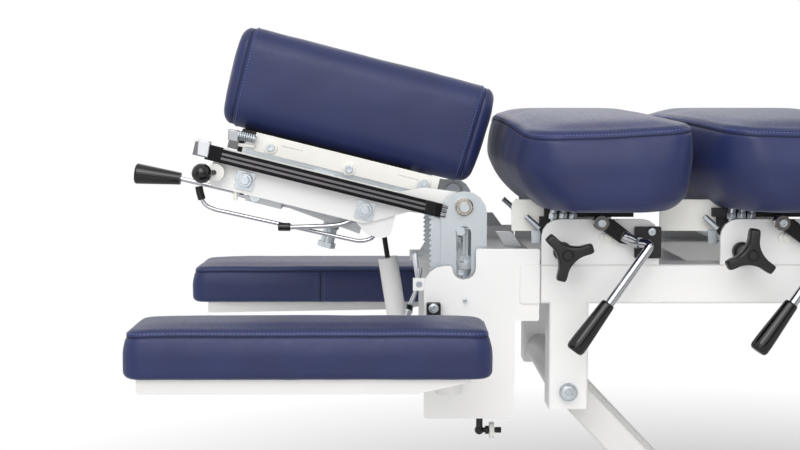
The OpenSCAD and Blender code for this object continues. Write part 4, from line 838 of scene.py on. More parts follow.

# %% [markdown]
# The far armrest shows where its boxing is joined: an upright seam, whose dark line is a thin tube of
# painted shade, with a row of stitches on either side. It follows the rings of the filled cushion, so
# it lies on the leather wherever that went.

# %% The join in the far boxing
JOIN_X, JOIN_APART, JOIN_RADIUS, JOIN_SIDES, JOIN_OUT = -0.692, 0.0066, 0.0009, 8, 0.0003
boxing = arm_rings[GROOVE_RING + 1:]
facing = boxing[:, boxing[0][:, 1] < boxing[0][:, 1].mean()]
nearest = np.argmin(np.abs(facing[:, :, 0] - JOIN_X), axis=1)
join = facing[np.arange(len(facing)), nearest] * np.array([0, 1, 1]) + np.array([JOIN_X, -JOIN_OUT, 0])
tube = circles(join, np.array([[1.0, 0, 0]]), np.array([[0, 1.0, 0]]), JOIN_RADIUS, full_turn(JOIN_SIDES))
make_piece("far_armrest_join", (tube.reshape(-1, 3), tube_faces(len(join), JOIN_SIDES)), "seam_shade",
           "far_armrest", sharp=False)
towards = np.tile([0, -1.0, 0], (len(join), 1))
rows = [stitch_row(join + np.array([apart, 0, 0]), towards, closed=False)
        for apart in (-JOIN_APART, JOIN_APART)]
make_piece("far_armrest_join_stitches", joined(rows), "thread", "far_armrest", sharp=False)
print("join", np.round(np.ptp(join[:, 2]), 3), "m tall")

# %% [markdown]
# The two head cushions are loaves: one piece of leather runs round them lengthwise, and a sewn
# panel closes either end. So the same form is laid on its side, with its height along the head
# section's slope and its plan across it.

# %% Head cushions
HEAD_PIVOT = np.array([-0.486, 0.0, 0.63441])
HEAD_LEAN = math.radians(14)
HEAD_ALONG = np.array([math.cos(HEAD_LEAN), 0, -math.sin(HEAD_LEAN)])
HEAD_UP = np.array([math.sin(HEAD_LEAN), 0, math.cos(HEAD_LEAN)])
HEAD_LENGTH, HEAD_LOW, HEAD_FOOT = 0.340, 0.027, 0.005
HEAD_INNER, HEAD_OUTER = 0.024, 0.141
HEAD_TALL, HEAD_SLOPE, HEAD_TAPER = 0.127, 0.008, 0.002
HEAD_FLARE, HEAD_BULGE, STITCH_IN = 0.007, 0.004, 0.0052
HEAD_RADIUS, HEAD_ROLL_IN, HEAD_ROLL, HEAD_LIP_IN, HEAD_PUFF = 0.032, 0.018, 0.0145, 0.0012, 0.003
HEAD_CELL, HEAD_ROWS, HEAD_HELD, HEAD_SEED = 0.006, 22, 0.006, 20


def head_spot(a, b, y=0.0):
    """A place on the head section: a along its slope from the tilt pivot, b square to the slope."""
    return HEAD_PIVOT + a * HEAD_ALONG + b * HEAD_UP + np.array([0, y, 0])


def head_form(side):
    """A loaf: plan x goes across (y), plan y stands up from the board, height goes along the slope."""
    half_across, half_tall = (HEAD_OUTER - HEAD_INNER) / 2, HEAD_TALL / 2

    def height(x, y):
        """Between the two end seams."""
        return HEAD_LENGTH + 0 * x

    def place(x, y, z, level):
        """The top rises outwards, the sides bulge with 1 - high squared, the foot end leans out."""
        high = np.clip(y / half_tall, -1, 1)
        lift = (HEAD_SLOPE * x / half_across + HEAD_TAPER * (0.5 - z / HEAD_LENGTH)) * (high + 1) / 2
        bulge = HEAD_BULGE * (1 - high ** 2) - HEAD_BULGE
        across = side * ((HEAD_OUTER + HEAD_INNER) / 2 + x * (1 + bulge / half_across))
        up = HEAD_LOW + half_tall + y + lift
        along = z - HEAD_LENGTH + HEAD_FOOT + HEAD_FLARE * z / HEAD_LENGTH * (high + 1) / 2
        return (HEAD_PIVOT + along[..., None] * HEAD_ALONG + up[..., None] * HEAD_UP
                + across[..., None] * np.array([0, 1.0, 0]))

    foot, head = 1 - (HEAD_ROLL + HEAD_PUFF) / HEAD_LENGTH, (HEAD_ROLL + HEAD_PUFF) / HEAD_LENGTH
    levels = np.linspace(foot, head, HEAD_ROWS)
    levels[0], levels[-1] = foot - STITCH_IN / HEAD_LENGTH, head + STITCH_IN / HEAD_LENGTH
    ends = [np.concatenate([roll_rings(HEAD_ROLL_IN, HEAD_ROLL, HEAD_LIP_IN, share, way),
                            seam_rings(HEAD_LIP_IN, share, way)]) for share, way in ((foot, 1), (head, -1))]
    rings = np.concatenate([ends[0], np.stack([0 * levels, levels, 0 * levels], 1), ends[1][::-1]])
    return Form(half_across, half_tall, HEAD_RADIUS, rings, height, place, HEAD_UP, HEAD_HELD, HEAD_PUFF,
                under_puff=HEAD_PUFF)


for number, (side, sign) in enumerate((("near", -1), ("far", 1))):
    form = head_form(sign)
    last, beside = len(form.rings) - 1, GROOVE_RING + 2
    cushion_piece("head_pad_" + side, form, HEAD_CELL, "head_section", "head_cushion_" + side,
                  HEAD_SEED + number, (beside, last - beside), (GROOVE_RING, last - GROOVE_RING))

# %% [markdown]
# A fitting is placed by the pixel where the photograph shows it, on the upright plane of the piece
# that carries it: the camera's ray through that pixel meets the plane at one point.

# %% From pixels to places
CAMERA_AXES = np.array(camera.rotation_euler.to_matrix())
MIDDLE_PIXEL = (400, 225)
NEAR = np.array([0, -1.0, 0])


def at_pixel(px, py, y):
    """Where the camera's ray through a pixel of the photograph meets the upright plane at y."""
    across, up = (px - MIDDLE_PIXEL[0]) / FOCAL_PIXELS, (MIDDLE_PIXEL[1] - py) / FOCAL_PIXELS
    ray = CAMERA_AXES @ np.array([across, up, -1.0])
    place = np.array(CAMERA_PLACE)
    return place + (y - place[1]) / ray[1] * ray


print("the middle pixel meets the centre plane at", np.round(at_pixel(*MIDDLE_PIXEL, 0), 3))

# %% [markdown]
# The small fittings are turned, bent or cut from plate, so three helpers make nearly all of them: a
# profile turned round an axis, a tube along a path and an outline with a thickness.

# %% Turned forms
CROSS_WIDTH = 0.28


def rim_share(turn, corners):
    """Radius of a unit outline at an angle: 1 for a circle (0), a polygon's edge for 3 or more
    corners, and for "cross" the outer edge of two crossed bars."""
    if corners == "cross":
        c, s = np.abs(np.cos(turn)) + 1e-6, np.abs(np.sin(turn)) + 1e-6
        return np.maximum(np.minimum(1 / c, CROSS_WIDTH / s), np.minimum(1 / s, CROSS_WIDTH / c))
    if corners == 0:
        return np.ones_like(turn)
    step = 2 * np.pi / corners
    return np.cos(step / 2) / np.cos((turn % step) - step / 2)


def turned(profile, centre, way, sides=30, spin=0.2):
    """A profile of (along, radius, corners) turned round an axis: centre + along way + radius rim.

    Rows with corners make nuts and recesses out of the same grid."""
    way, turn = unit(way), full_turn(sides)
    side = np.array([0, 0, 1.0]) if abs(way[2]) < 0.9 else np.array([1.0, 0, 0])
    across = unit(np.cross(side, way))
    middles = np.asarray(centre) + np.array([row[0] for row in profile])[:, None] * way
    radius = np.stack([row[1] * rim_share(turn + spin, row[2] if len(row) > 2 else 0) for row in profile])
    points = circles(middles, across[None], np.cross(way, across)[None], radius[..., None], turn)
    return points.reshape(-1, 3), tube_faces(len(profile), sides)


def screw(centre, radius, kind, way=NEAR):
    """A screw head on a face: a socket head, a hexagon, a pan head with a cross, or a washer."""
    heads = {
        "socket": [(0, 1), (0.55, 1), (0.7, 0.92), (0.7, 0.58, 6), (0.2, 0.56, 6), (0.2, 0.01)],
        "hex": [(0, 1, 6), (0.5, 1, 6), (0.6, 0.84), (0.6, 0.01)],
        "pan": [(0, 1), (0.25, 1), (0.42, 0.86), (0.48, 0.62), (0.48, 0.5, "cross"), (0.2, 0.44, "cross"),
                (0.2, 0.01)],
        "washer": [(0, 1), (0.16, 1), (0.2, 0.96), (0.2, 0.01)]}
    profile = [(along * radius, wide * radius, *corners) for along, wide, *corners in heads[kind]]
    return turned(profile, centre, way)


print("a pan head has", len(screw(np.zeros(3), 0.005, "pan")[0]), "points")

# %% Bent bars
def bent_path(corners, radius, steps=7):
    """Rounds a path's corners: the curve (1-t)^2 before + 2t(1-t) corner + t^2 after at each."""
    corners = np.asarray(corners, float)
    t = np.linspace(0, 1, steps)[:, None]
    path = [corners[:1]]
    for before, corner, after in zip(corners[:-2], corners[1:-1], corners[2:]):
        reach = min(radius, np.linalg.norm(before - corner) / 2, np.linalg.norm(after - corner) / 2)
        a, b = corner + reach * unit(before - corner), corner + reach * unit(after - corner)
        path.append((1 - t) ** 2 * a + 2 * t * (1 - t) * corner + t ** 2 * b)
    return np.concatenate(path + [corners[-1:]])


def swept(path, radius, sides=14):
    """A round bar: path + radius (cos turn across + sin turn up), across square to the path."""
    path = np.asarray(path, float)
    along = unit(np.gradient(path, axis=0))
    across = unit(np.cross(along, np.array([0.0, 1.0, 0.17])))
    points = circles(path, across, np.cross(along, across), radius, full_turn(sides))
    return points.reshape(-1, 3), tube_faces(len(path), sides)


def pixel_path(pixels, y):
    """Points of a path given as pixels of the photograph, in the upright plane at y."""
    return np.array([at_pixel(px, py, y) for px, py in pixels])


def bar(pixels, y, radius, bend=0.0, sides=14):
    """A round bar whose corners are pixels of the photograph, each rounded by bend."""
    return swept(bent_path(pixel_path(pixels, y), bend), radius, sides)


print("a bar with one bend has", len(bent_path([(0, 0, 0), (1, 0, 0), (1, 0, 1)], 0.1)), "rings")

# %% Plates, both sides, and the finished fitting
def plate(outline, y, thickness):
    """A plate in an upright plane: the outline's (x, z) points at y and at y + thickness."""
    count = len(outline)
    x, z = np.tile(np.asarray(outline, float), (2, 1)).T
    points = np.stack([x, np.repeat([y, y + thickness], count), z], 1)
    faces = [list(range(count)), list(range(count, 2 * count))[::-1]]
    faces += [[k, k + count, (k + 1) % count + count, (k + 1) % count] for k in range(count)]
    return points, faces


def pixel_plate(pixels, y, thickness):
    """A plate whose corners are given as pixels of the photograph."""
    return plate([at_pixel(px, py, y)[[0, 2]] for px, py in pixels], y, thickness)


def both_sides(part):
    """A part of the near side and its mirror image on the far side."""
    return joined([part, mirrored(part)])


def screws(pixels, y, kind, radius, lift=0.0):
    """Screw heads on both sides of the table, at pixels of the near one, lifted off the face at y."""
    return [both_sides(screw(at_pixel(px, py, y) + lift * NEAR, radius, kind)) for px, py in pixels]


def fitting(name, parts, finish, body, bevel=0.0, node=None):
    """A piece of several parts; a bevel rounds cut edges, and a node is what it stands for."""
    piece = make_piece(name, joined(parts), finish, body)
    if bevel:
        rounder = piece.modifiers.new("Bevel", "BEVEL")
        rounder.width, rounder.segments, rounder.limit_method = bevel, 2, "ANGLE"
    if node:
        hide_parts(node)


print("a plate of 4 corners has", len(plate([(0, 0), (1, 0), (1, 1), (0, 1)], 0, 1)[1]), "faces")

# %% [markdown]
# The head section carries most of the small parts. Three socket screws hold each side plate, each on
# a white washer, and at its head end a clevis with a spring holds the slide.

# %% Head section fittings
PLATE_Y = -0.138
PLATE_SCREWS = [(270.8, 147.3), (349, 169), (424, 183)]
WASHER_RADIUS, WASHER_THICK, SCREW_RADIUS = 0.0088, 0.0012, 0.0052
fitting("head_plate_washers", screws(PLATE_SCREWS, PLATE_Y, "washer", WASHER_RADIUS), "cream_paint",
        "head_section")
fitting("head_plate_screws", screws(PLATE_SCREWS, PLATE_Y, "socket", SCREW_RADIUS, WASHER_THICK), "zinc",
        "head_section")
CLEVIS_Y, CLEVIS_THICK, TAB_Y, TAB_THICK = -0.152, 0.010, -0.1446, 0.0045
CLEVIS = [(228, 129), (238.2, 130.5), (238.2, 142.4), (228, 140.5)]
CLEVIS_TAB = [(238, 143), (254.5, 144.6), (254.5, 148.2), (238, 146.4)]
fitting("head_clevis", [both_sides(pixel_plate(CLEVIS, CLEVIS_Y, CLEVIS_THICK))], "grey_aluminium",
        "head_section", bevel=0.0012)
fitting("head_clevis_tab", [both_sides(pixel_plate(CLEVIS_TAB, TAB_Y, TAB_THICK))], "cream_paint",
        "head_section", bevel=0.0008)
print("plate screws", len(PLATE_SCREWS))

# %% [markdown]
# The clevis spring is a helix of wire round its pin. Sweeping a circle along a helix gives the
# coils their true slope, which a row of rings wouldn't have.

# %% Clevis spring
SPRING = [(238.2, 135), (255.5, 139)]
COIL_RADIUS, WIRE_RADIUS, COILS, COIL_STEPS, SPRING_PIN = 0.0052, 0.0011, 8, 14, 0.0028


def coil(start, end, radius, wire, turns):
    """A spring: a helix round the line from start to end, swept with the wire."""
    t = np.linspace(0, 1, turns * COIL_STEPS + 1)[:, None]
    way = unit(end - start)
    across = unit(np.cross(way, np.array([0, 1.0, 0.1])))
    turn = 2 * np.pi * turns * t
    path = start + t * (end - start) + radius * (np.cos(turn) * across + np.sin(turn) * np.cross(way, across))
    return swept(path, wire, 7)


spring_path = pixel_path(SPRING, CLEVIS_Y + CLEVIS_THICK / 2)
fitting("head_clevis_springs", [both_sides(coil(*spring_path, COIL_RADIUS, WIRE_RADIUS, COILS)),
                                both_sides(swept(spring_path, SPRING_PIN))], "zinc", "head_section")
print("spring", np.round(np.linalg.norm(spring_path[1] - spring_path[0]), 4), "m long")

# %% [markdown]
# The head section's controls sit on the frame below it. The tension ball turns on a cream hub with
# turned steps, so its profile is drawn row by row. The cocking handle's rod bends down to its grip.

# %% Tension ball hub and handle rod
HUB = head_spot(-0.317, -0.034, -0.1550)
HUB_ROWS = [(0, 0.0100), (0, 0.0115), (0.0100, 0.0115), (0.0112, 0.0106), (0.0128, 0.0104),
            (0.0128, 0.0116), (0.0146, 0.0116), (0.0152, 0.0108), (0.0152, 0.0001)]
fitting("tension_ball_hub", [turned(HUB_ROWS, HUB, NEAR, 36)], "cream_paint", "head_tension_ball")
HANDLE_Y, HANDLE_BEND, HANDLE_RADIUS = -0.120, 0.008, 0.0034
HANDLE = [head_spot(a, b, HANDLE_Y) for a, b in ((-0.262, -0.038), (-0.283, -0.055), (-0.365, -0.0565))]
fitting("handle_rod", [swept(bent_path(HANDLE, HANDLE_BEND), HANDLE_RADIUS)], "chrome", "head_cocking_handle")
print("hub at", np.round(HUB, 3))

# %% [markdown]
# The bail is a chrome rod on either side, joined by a shaft, with a black sleeve at the free end. It
# stands for the frame's plain bail, so all its bends are drawn. The small release lever under the
# frame is a bent chrome bar with a rubber tip.

# %% Bail and small release lever
BAIL_Y, BAIL_RADIUS, BAIL_BEND, SHAFT_RADIUS = -0.141, 0.0026, 0.012, 0.0030
BAIL_PIVOT = (-0.118, -0.048)
BAIL = [(199.6, 188), (203.2, 204.0), (213, 209.2), (362, 242.0), (376.5, 236.5)]
SLEEVE = [(198.9, 186.2), (199.8, 192), (202.0, 199.5)]
near_end, far_end = (head_spot(*BAIL_PIVOT, y) for y in (BAIL_Y, -BAIL_Y))
bail_path = np.vstack([pixel_path(BAIL, BAIL_Y), near_end])
shaft = turned([(0, SHAFT_RADIUS), (2 * abs(BAIL_Y), SHAFT_RADIUS)], near_end, far_end - near_end)
fitting("bail_rod", [both_sides(swept(bent_path(bail_path, BAIL_BEND), BAIL_RADIUS)), shaft], "chrome",
        "bail", node="head_bail")
fitting("bail_sleeves", [both_sides(bar(SLEEVE, BAIL_Y, radius=0.0050, bend=0.008, sides=18))],
        "black_plastic", "bail", bevel=0.001)

SMALL_LEVER_Y = -0.150
SMALL_LEVER = [(289, 227.2), (330, 226), (344, 224), (353.5, 219)]
SMALL_TIP = [(278.2, 226.8), (290.5, 227)]
fitting("small_release_lever", [bar(SMALL_LEVER, SMALL_LEVER_Y, radius=0.0030, bend=0.01)], "chrome",
        "head_frame")
fitting("small_release_tip", [bar(SMALL_TIP, SMALL_LEVER_Y, radius=0.0053, sides=18)], "black_plastic",
        "head_frame", bevel=0.0011)
print("shaft", 2 * abs(BAIL_Y), "m long")

# %% [markdown]
# Nuts, a peg and a bolt on the head arms: small, but they are what makes plain plates look built.
# The nuts take their depth from the frame's own bolts, so they sit on them.

# %% Fasteners of the head arms
NUTS = [(244.8, 180.2), (365, 210)]
NUT_WASHER, NUT_WASHER_THICK, NUT_RADIUS, SUNK = 0.0088, 0.0015, 0.0064, 0.0002
nut_spots = pixel_path(NUTS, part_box("head_bolts")[0][1] - SUNK)
fitting("frame_nuts", [both_sides(joined([screw(spot, NUT_WASHER, "washer"),
                                          screw(spot + NUT_WASHER_THICK * NEAR, NUT_RADIUS, "hex")]))
                       for spot in nut_spots], "zinc", "head_frame")
PEG, PEG_Y = [(235.6, 191), (235.6, 200)], -0.150
fitting("head_pan_peg", [both_sides(bar(PEG, PEG_Y, radius=0.0026))], "cream_paint", "head_frame")
HOUSING_BOLT, HOUSING_BOLT_Y = [(255.5, 196.3)], -0.146
fitting("housing_bolt", screws(HOUSING_BOLT, HOUSING_BOLT_Y, "hex", radius=0.0085), "zinc", "head_frame")
print("nuts to a side", len(NUTS))

# %% [markdown]
# The slides are ribbed black rails. A chrome cap closes the head end, and at the foot end a black
# block holds three thin prongs.

# %% Ends of the slides
SLIDE_CAP = [(198.2, 139.3), (210.8, 141.8), (207.6, 158.2), (196.4, 154.6)]
SLIDE_BLOCK = [(426.5, 200), (437, 202.5), (435, 215.5), (424.5, 212.5)]
SLIDE_PRONGS = [((436, 205.3), (445.6, 207.8)), ((435.4, 209.1), (445, 211.6)),
                ((434.8, 212.9), (444, 215.4))]
CAP_Y, BLOCK_Y, PRONG_Y, SLIDE_END_THICK = -0.1738, -0.1745, -0.1705, 0.010
fitting("slide_cap", [pixel_plate(SLIDE_CAP, CAP_Y, SLIDE_END_THICK)], "chrome", "head_frame",
        bevel=0.0012)
fitting("slide_end_blocks", [both_sides(pixel_plate(SLIDE_BLOCK, BLOCK_Y, SLIDE_END_THICK))],
        "black_plastic", "head_frame", bevel=0.0008)
fitting("slide_prongs", [both_sides(bar(pair, PRONG_Y, radius=0.0012)) for pair in SLIDE_PRONGS], "chrome",
        "head_frame")
print("prongs", len(SLIDE_PRONGS))

# %% [markdown]
# The pivot bolts of the head section sit in a zinc collar with a faint brown tint from the chromate,
# with a bright hexagon on it. Below, a nut and a bolt show in the slot of the riser plate.

# %% Pivot bolts and riser slot
PIVOT, PIVOT_Y, COLLAR_THICK = [(464.3, 207)], -0.1755, 0.005
COLLAR = [(-0.004, 0.0112), (0.0035, 0.0112), (COLLAR_THICK, 0.0100), (COLLAR_THICK, 0.0002)]
fitting("pivot_collars", [both_sides(turned(COLLAR, at_pixel(*PIVOT[0], PIVOT_Y), NEAR, 36))], "yellow_zinc",
        "riser")
fitting("pivot_heads", screws(PIVOT, PIVOT_Y, "hex", radius=0.0072, lift=COLLAR_THICK), "zinc", "riser")
SLOT_BOLT, SLOT_NUT, SLOT_Y = [(460.8, 272.5)], (460.5, 231), -0.168
slot_nut = turned([(0, 0.006, 6), (0.006, 0.006, 6), (0.006, 0.0001)], at_pixel(*SLOT_NUT, SLOT_Y), NEAR)
fitting("slot_fasteners", screws(SLOT_BOLT, SLOT_Y, "socket", radius=0.0042) + [both_sides(slot_nut)], "zinc",
        "riser")
print("pivot at", np.round(at_pixel(*PIVOT[0], PIVOT_Y), 3))

# %% [markdown]
# The release lever hangs from its shaft as a thin chrome bar with a black tip. The casing carries a
# black block with a socket screw, and small screws hold its edge.

# %% Casing fittings
RELEASE_Y = -0.1615
RELEASE, RELEASE_TIP = [(420.5, 268), (418.5, 285), (409.8, 305)], [(409.9, 304), (409.2, 313)]
fitting("release_bar", [bar(RELEASE, RELEASE_Y, radius=0.0027, bend=0.01)], "chrome", "release")
fitting("release_tip", [bar(RELEASE_TIP, RELEASE_Y, radius=0.0042, sides=18)], "black_plastic", "release",
        bevel=0.0009)
BLOCK_SCREW, EDGE_SCREW, BLOCK_FACE_Y, CASING_FACE_Y = [(433.6, 308.2)], [(465.1, 300.7)], -0.1902, -0.1822
fitting("block_screws", screws(BLOCK_SCREW, BLOCK_FACE_Y, "pan", radius=0.0062), "zinc", "top")
fitting("casing_screws", screws(EDGE_SCREW, CASING_FACE_Y, "pan", radius=0.0029), "zinc", "top")
print("casing screws", len(BLOCK_SCREW + EDGE_SCREW))

# %% [markdown]
# Every drop section has the same set of fittings, so each is worked out once, where the photograph
# shows it best, and repeated at the pitch of the sections.

# %% Repeating at the sections
SECTIONS, PITCH = ("chest", "lumbar", "pelvic"), 0.227
steps = [np.array([k * PITCH, 0, 0]) for k in range(len(SECTIONS))]


def repeated(part, moves=steps):
    """A part and its copies, one at each section."""
    points, faces = part
    return joined([(points + move, faces) for move in moves])


print("sections", len(SECTIONS), "at a pitch of", PITCH)

# %% [markdown]
# The section's plate carries a black catch block, whose screw is added here, and a white plug. Under
# the deck's edge stand three zinc adjusters, hexagons on a round shank, and a stop pin leans out.

# %% Catches, plugs and adjusters
CATCH_SCREW, CATCH_Y = (652, 231.7), -0.1902
fitting("catch_screws", [repeated(screw(at_pixel(*CATCH_SCREW, CATCH_Y), SCREW_RADIUS, "pan"))], "zinc",
        "top")
PLUG, PLUG_Y = (608, 238), -0.1832
PLUG_ROWS = [(-0.002, 0.0062), (0.0012, 0.0062), (0.002, 0.005), (0.002, 0.0001)]
plug = turned(PLUG_ROWS, at_pixel(*PLUG, PLUG_Y), NEAR)
fitting("plate_plugs", [repeated(both_sides(plug))], "cream_paint", "top")
ADJUSTERS, ADJUSTER_Y, ADJUSTER_WAY = [(553, 216), (563, 215.5), (573, 216)], -0.172, (0.1, 0, 1)
ADJUSTER_ROWS = [(-0.008, 0.0030), (-0.004, 0.0030), (-0.004, 0.0060, 6), (0.003, 0.0060, 6), (0.004, 0.0048),
                 (0.012, 0.0046), (0.012, 0.0001)]
adjusters = joined([turned(ADJUSTER_ROWS, spot, ADJUSTER_WAY)
                    for spot in pixel_path(ADJUSTERS, ADJUSTER_Y)])
fitting("adjuster_nuts", [repeated(both_sides(adjusters))], "zinc", "top", bevel=0.0003)
STOP_PIN = [(526, 216.4), (539.5, 228.5)]
fitting("stop_pins", [repeated(both_sides(bar(STOP_PIN, ADJUSTER_Y, radius=0.0038)))], "zinc", "top",
        bevel=0.0005)
print("adjusters", len(ADJUSTERS) * len(SECTIONS) * 2)

# %% [markdown]
# Behind the near rail stand cream inner plates. The first one has a slanted head end, the others are
# wider. Small zinc brackets and a sheet of grey aluminium fill the gap in front of them.

# %% Inner plates and brackets
INNER_Y, SHEET_Y, PLATE_THICK = -0.158, -0.156, 0.003
FIRST_PLATE = [(511.5, 231), (511.5, 206), (513.5, 201.5), (517.5, 199.5), (600, 199.5), (600, 231)]
WIDE_PLATE = [(483, 231), (483, 199.5), (600, 199.5), (600, 231)]
SHEET = [(495.3, 231), (511, 231), (522.6, 246.7), (504.4, 246.7)]
BRACKET = [(531.4, 230), (540.8, 229.7), (540.8, 243.6), (531.4, 243.6)]
fitting("inner_plates", [pixel_plate(FIRST_PLATE, INNER_Y, PLATE_THICK),
                         repeated(pixel_plate(WIDE_PLATE, INNER_Y, PLATE_THICK), steps[1:])],
        "cream_paint", "top", bevel=0.0006)
fitting("inclined_sheet", [both_sides(pixel_plate(SHEET, SHEET_Y, PLATE_THICK))], "grey_aluminium", "top",
        bevel=0.0006)
fitting("pin_brackets", [repeated(pixel_plate(BRACKET, INNER_Y - PLATE_THICK, PLATE_THICK))], "zinc", "top",
        bevel=0.0006)
print("inner plates", len(steps))

# %% [markdown]
# The cocking lever of a section starts at a roller, which is closed by a steel disc with a socket
# screw. The roller itself is part of the lever's rod further down.

# %% Rollers
ROLLER, ROLLER_Y, ROLLER_BACK, DISC_RADIUS, DISC_THICK = (601.6, 223), -0.199, 0.0105, 0.0096, 0.0016
ROLLER_ROWS = [(0, 0.008), (0.001, 0.0102), (0.009, 0.0102), (0.010, 0.009), (0.010, 0.0001)]
roller_spot = at_pixel(*ROLLER, ROLLER_Y)
roller = turned(ROLLER_ROWS, roller_spot - ROLLER_BACK * NEAR, NEAR, 36)
disc = screw(roller_spot, DISC_RADIUS, "washer")
disc_screw = screw(roller_spot + DISC_THICK * NEAR, SCREW_RADIUS, "socket")
for step, section in zip(steps, SECTIONS):
    for name, part, finish in (("_roller_disc", disc, "roller_steel"), ("_roller_screw", disc_screw, "zinc")):
        fitting(section + name, [repeated(part, [step])], finish, section + "_cocking_lever")
print("roller at", np.round(roller_spot, 3))

# %% [markdown]
# The tension knob has three lobes: its outline is the reach of a lobe, cut by arcs that are centred
# between the lobes. Each section's knob was left at another angle. The outline is set in row by row,
# so the edges come out rounded without a bevel.

# %% Tension knobs
KNOB_REACH, WEB_CENTRE, WEB_RADIUS, KNOB_LEAST = 0.033, 0.0483, 0.0358, 0.0078
KNOB_SPINS = {"chest": 16, "lumbar": 84, "pelvic": 50}
KNOB_AT, KNOB_BACK, PLATE_FACE_Y = (-0.3620, 0.5790), -0.222, -0.183
KNOB_ROWS = [(0.0, 0.0024), (0.0007, 0.0009), (0.0025, 0.0), (0.0118, 0.0), (0.0142, 0.0009), (0.0155, 0.0024),
             (0.016, 0.0046)]
KNOB_FACE_ROWS = [(0.0158, 0.0074), (0.0146, 0.0068), (0.0146, 0.0058), (0.0160, 0.0052), (0.0162, 0.0001)]
KNOB_STEM = [(0.0, 0.012), (0.0065, 0.012), (0.008, 0.0105), (0.008, 0.009), (0.040, 0.009)]


def knob_radius(turn):
    """Radius of three lobes: min(reach, D cos w - sqrt(R^2 - D^2 sin^2 w)), w from the web's middle."""
    lobe = (turn + np.pi / 3) % (2 * np.pi / 3) - np.pi / 3
    w = np.pi / 3 - np.abs(lobe)
    inside = WEB_RADIUS ** 2 - (WEB_CENTRE * np.sin(w)) ** 2
    web = WEB_CENTRE * np.cos(w) - np.sqrt(np.maximum(inside, 0))
    return np.where(inside > 0, np.minimum(KNOB_REACH, web), KNOB_REACH)


def knob(x, z, spin, sides=132):
    """The outline set in by each row's inset; the last rows turn a ring on the knob's face."""
    turn = full_turn(sides)
    outline = knob_radius(turn - math.radians(spin))
    smooth = (np.roll(outline, 1) + 2 * outline + np.roll(outline, -1)) / 4
    rows = [(0.0, np.full(sides, 0.0001))]
    rows += [(along, np.maximum(smooth - inset, KNOB_LEAST)) for along, inset in KNOB_ROWS]
    rows += [(along, np.full(sides, radius)) for along, radius in KNOB_FACE_ROWS]
    middles = np.array([(x, KNOB_BACK - along, z) for along, _ in rows])
    radius = np.stack([radius for _, radius in rows])[..., None]
    points = circles(middles, np.array([[1.0, 0, 0]]), np.array([[0, 0, 1.0]]), radius, turn)
    return points.reshape(-1, 3), tube_faces(len(rows), sides)


for step, (section, spin) in zip(steps, KNOB_SPINS.items()):
    x, z = KNOB_AT[0] + step[0], KNOB_AT[1]
    stem = turned(KNOB_STEM, (x, PLATE_FACE_Y, z), NEAR, 36)
    fitting(section + "_star_knob", [stem, knob(x, z, spin)], "textured_plastic", section + "_tension_knob",
            node=section + "_knob")
print("knobs", 2 * KNOB_REACH, "m across")

# %% [markdown]
# Under the casing hangs a ball joint: a black ball on a short neck, and a stud with turned collars
# that ends in a hexagon. A cream washer is held between two of the collars. The ball's profile stops
# just short of its poles, so that no face there has all its corners in one point.

# %% Ball joint
BALL, BALL_TOP, BALL_END, BALL_RADIUS = (479.2, 429.8), (479.4, 415.5), (501, 429.8), 0.0063
NECK_RADIUS, POLE_GAP = 0.0045, 0.05
ball_y = (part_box("ball_link")[0][1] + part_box("ball_link")[1][1]) / 2
top_end, ball, stud_end = (at_pixel(*pixel, ball_y) for pixel in (BALL_TOP, BALL, BALL_END))
reach = np.linalg.norm(stud_end - ball)
lean = np.linspace(POLE_GAP, np.pi - POLE_GAP, 15)
ball_rows = np.stack([-BALL_RADIUS * np.cos(lean), BALL_RADIUS * np.sin(lean)], 1)
STUD_ROWS = [(0.0, 0.0034), (0.0075, 0.0034), (0.0078, 0.0056), (0.0125, 0.0056), (0.0128, 0.0034),
             (0.0215, 0.0034), (0.0216, 0.0044, 6), (reach, 0.0044, 6), (reach, 0.0001)]
BALL_WASHER = [(0.0132, 0.0004), (0.0132, 0.0108), (0.0196, 0.0108), (0.0196, 0.0004)]
fitting("ball_joint", [turned(ball_rows, ball, (1, 0, 0), 28), swept([top_end, ball], NECK_RADIUS, 20),
                       turned(STUD_ROWS, ball, stud_end - ball, 30)], "black_plastic", "top", node="ball_link")
fitting("ball_washer", [turned(BALL_WASHER, ball, stud_end - ball, 32)], "cream_paint", "top", bevel=0.0006)
print("stud", np.round(reach, 4), "m long")

# %% [markdown]
# From the roller a black link and a chrome ferrule lead to the lever's hub, and a bent chrome rod
# carries a turned, polished grip that is thickest near its end. Each is drawn once and rides on its
# own section's lever.

# %% Parts of a lever
LINK = [(599.5, 217.8), (613.5, 219.6), (632, 234), (628, 245), (619.5, 243), (601.5, 230)]
LINK_Y, LINK_THICK = -0.1975, 0.005
FERRULE, FERRULE_Y = [(622.5, 235.6), (642.5, 245.5)], -0.199
FERRULE_ROWS = [(0, 0.0058), (0.001, 0.0069), (0.0195, 0.0069), (0.021, 0.0060), (0.021, 0.0001)]
LEVER_HUB = (636.5, 241.5)
HUB_BAR_ROWS = [(0.0, 0.0078), (0.013, 0.0078), (0.0145, 0.0068), (0.0145, 0.0001)]
ROD = [(640.5, 243.0, -0.207), (651.5, 244.5, -0.216), (608.5, 305.0, -0.228)]
ROD_RADIUS, ROD_BEND = 0.0058, 0.014
GRIP_FROM, GRIP_TO = (608.5, 303.5, -0.2275), (573.5, 351.5, -0.235)
GRIP_ROWS = [(-0.0003, 0.0062), (0.0, 0.0078), (0.0012, 0.0086), (0.003, 0.0089), (0.020, 0.0098),
             (0.045, 0.0112), (0.058, 0.0117), (0.0635, 0.0116), (0.0662, 0.0106), (0.0676, 0.0088),
             (0.0680, 0.0060), (0.0680, 0.0001)]
ferrule_from, ferrule_to = pixel_path(FERRULE, FERRULE_Y)
ferrule = turned(FERRULE_ROWS, ferrule_from, ferrule_to - ferrule_from, 32)
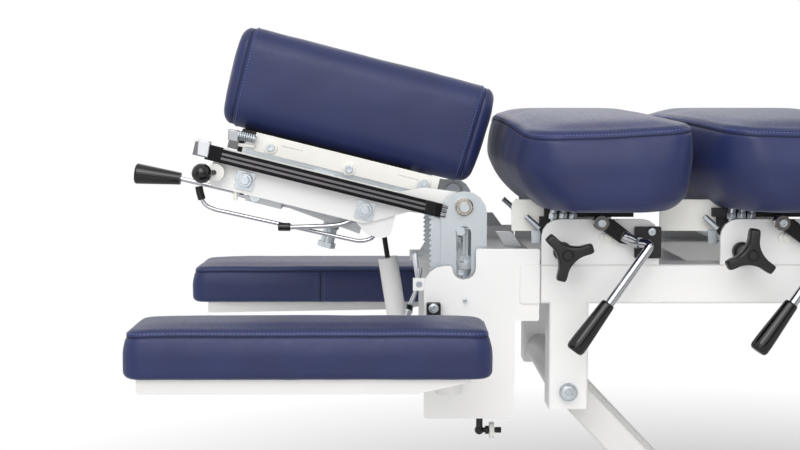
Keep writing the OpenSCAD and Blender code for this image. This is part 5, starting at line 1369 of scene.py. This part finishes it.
hub_bar = turned(HUB_BAR_ROWS, at_pixel(*LEVER_HUB, PLATE_FACE_Y), NEAR, 28)
rod = swept(bent_path([at_pixel(*corner) for corner in ROD], ROD_BEND), ROD_RADIUS, 24)
grip_from, grip_to = at_pixel(*GRIP_FROM), at_pixel(*GRIP_TO)
grip_length = np.linalg.norm(grip_to - grip_from)
grip = turned([(along * grip_length / GRIP_ROWS[-1][0], radius) for along, radius in GRIP_ROWS], grip_from,
              grip_to - grip_from, 40)
print("grip", np.round(grip_length, 4), "m long")

# %% Three levers
for step, section in zip(steps, SECTIONS):
    for name, part, finish, bevel, node in (
            ("_link", pixel_plate(LINK, LINK_Y, LINK_THICK), "black_plastic", 0.0012, None),
            ("_ferrule", ferrule, "chrome", 0, None),
            ("_lever_rod", joined([rod, hub_bar, roller]), "chrome", 0, section + "_lever"),
            ("_turned_grip", grip, "polished_black", 0, section + "_grip")):
        fitting(section + name, [repeated(part, [step])], finish, section + "_cocking_lever", bevel, node)
print("levers", len(SECTIONS))

# %% [markdown]
# Low on the table: the big pan-head pivot screws of the lift arms, and the domed screws that hold
# the armrest cushions from under their trays.

# %% Low fittings
LIFT_SCREW, LIFT_SCREW_Y = [(568.2, 392.6)], -0.1915
fitting("lift_pivot_screws", screws(LIFT_SCREW, LIFT_SCREW_Y, "pan", radius=0.0105), "zinc", "top")
TRAY_SCREWS, TRAY_SCREW_Y = [(217.6, 396.5), (400, 396.5)], -0.340
DOME = [(0, 0.0055), (0.002, 0.0052), (0.0036, 0.0038), (0.0042, 0.0001)]
spots = pixel_path(TRAY_SCREWS, TRAY_SCREW_Y)
spots[:, 2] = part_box("near_armrest_tray")[0][2]
domes = joined([turned(DOME, spot, (0, 0, -1)) for spot in spots])
fitting("near_tray_screws", [domes], "zinc", "near_armrest")
fitting("far_tray_screws", [mirrored(domes)], "zinc", "far_armrest")
print("tray screws to a side", len(TRAY_SCREWS))

# %% Finish
size = {"cad": frame_box, "visual": [list(map(float, corner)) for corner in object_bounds()]}
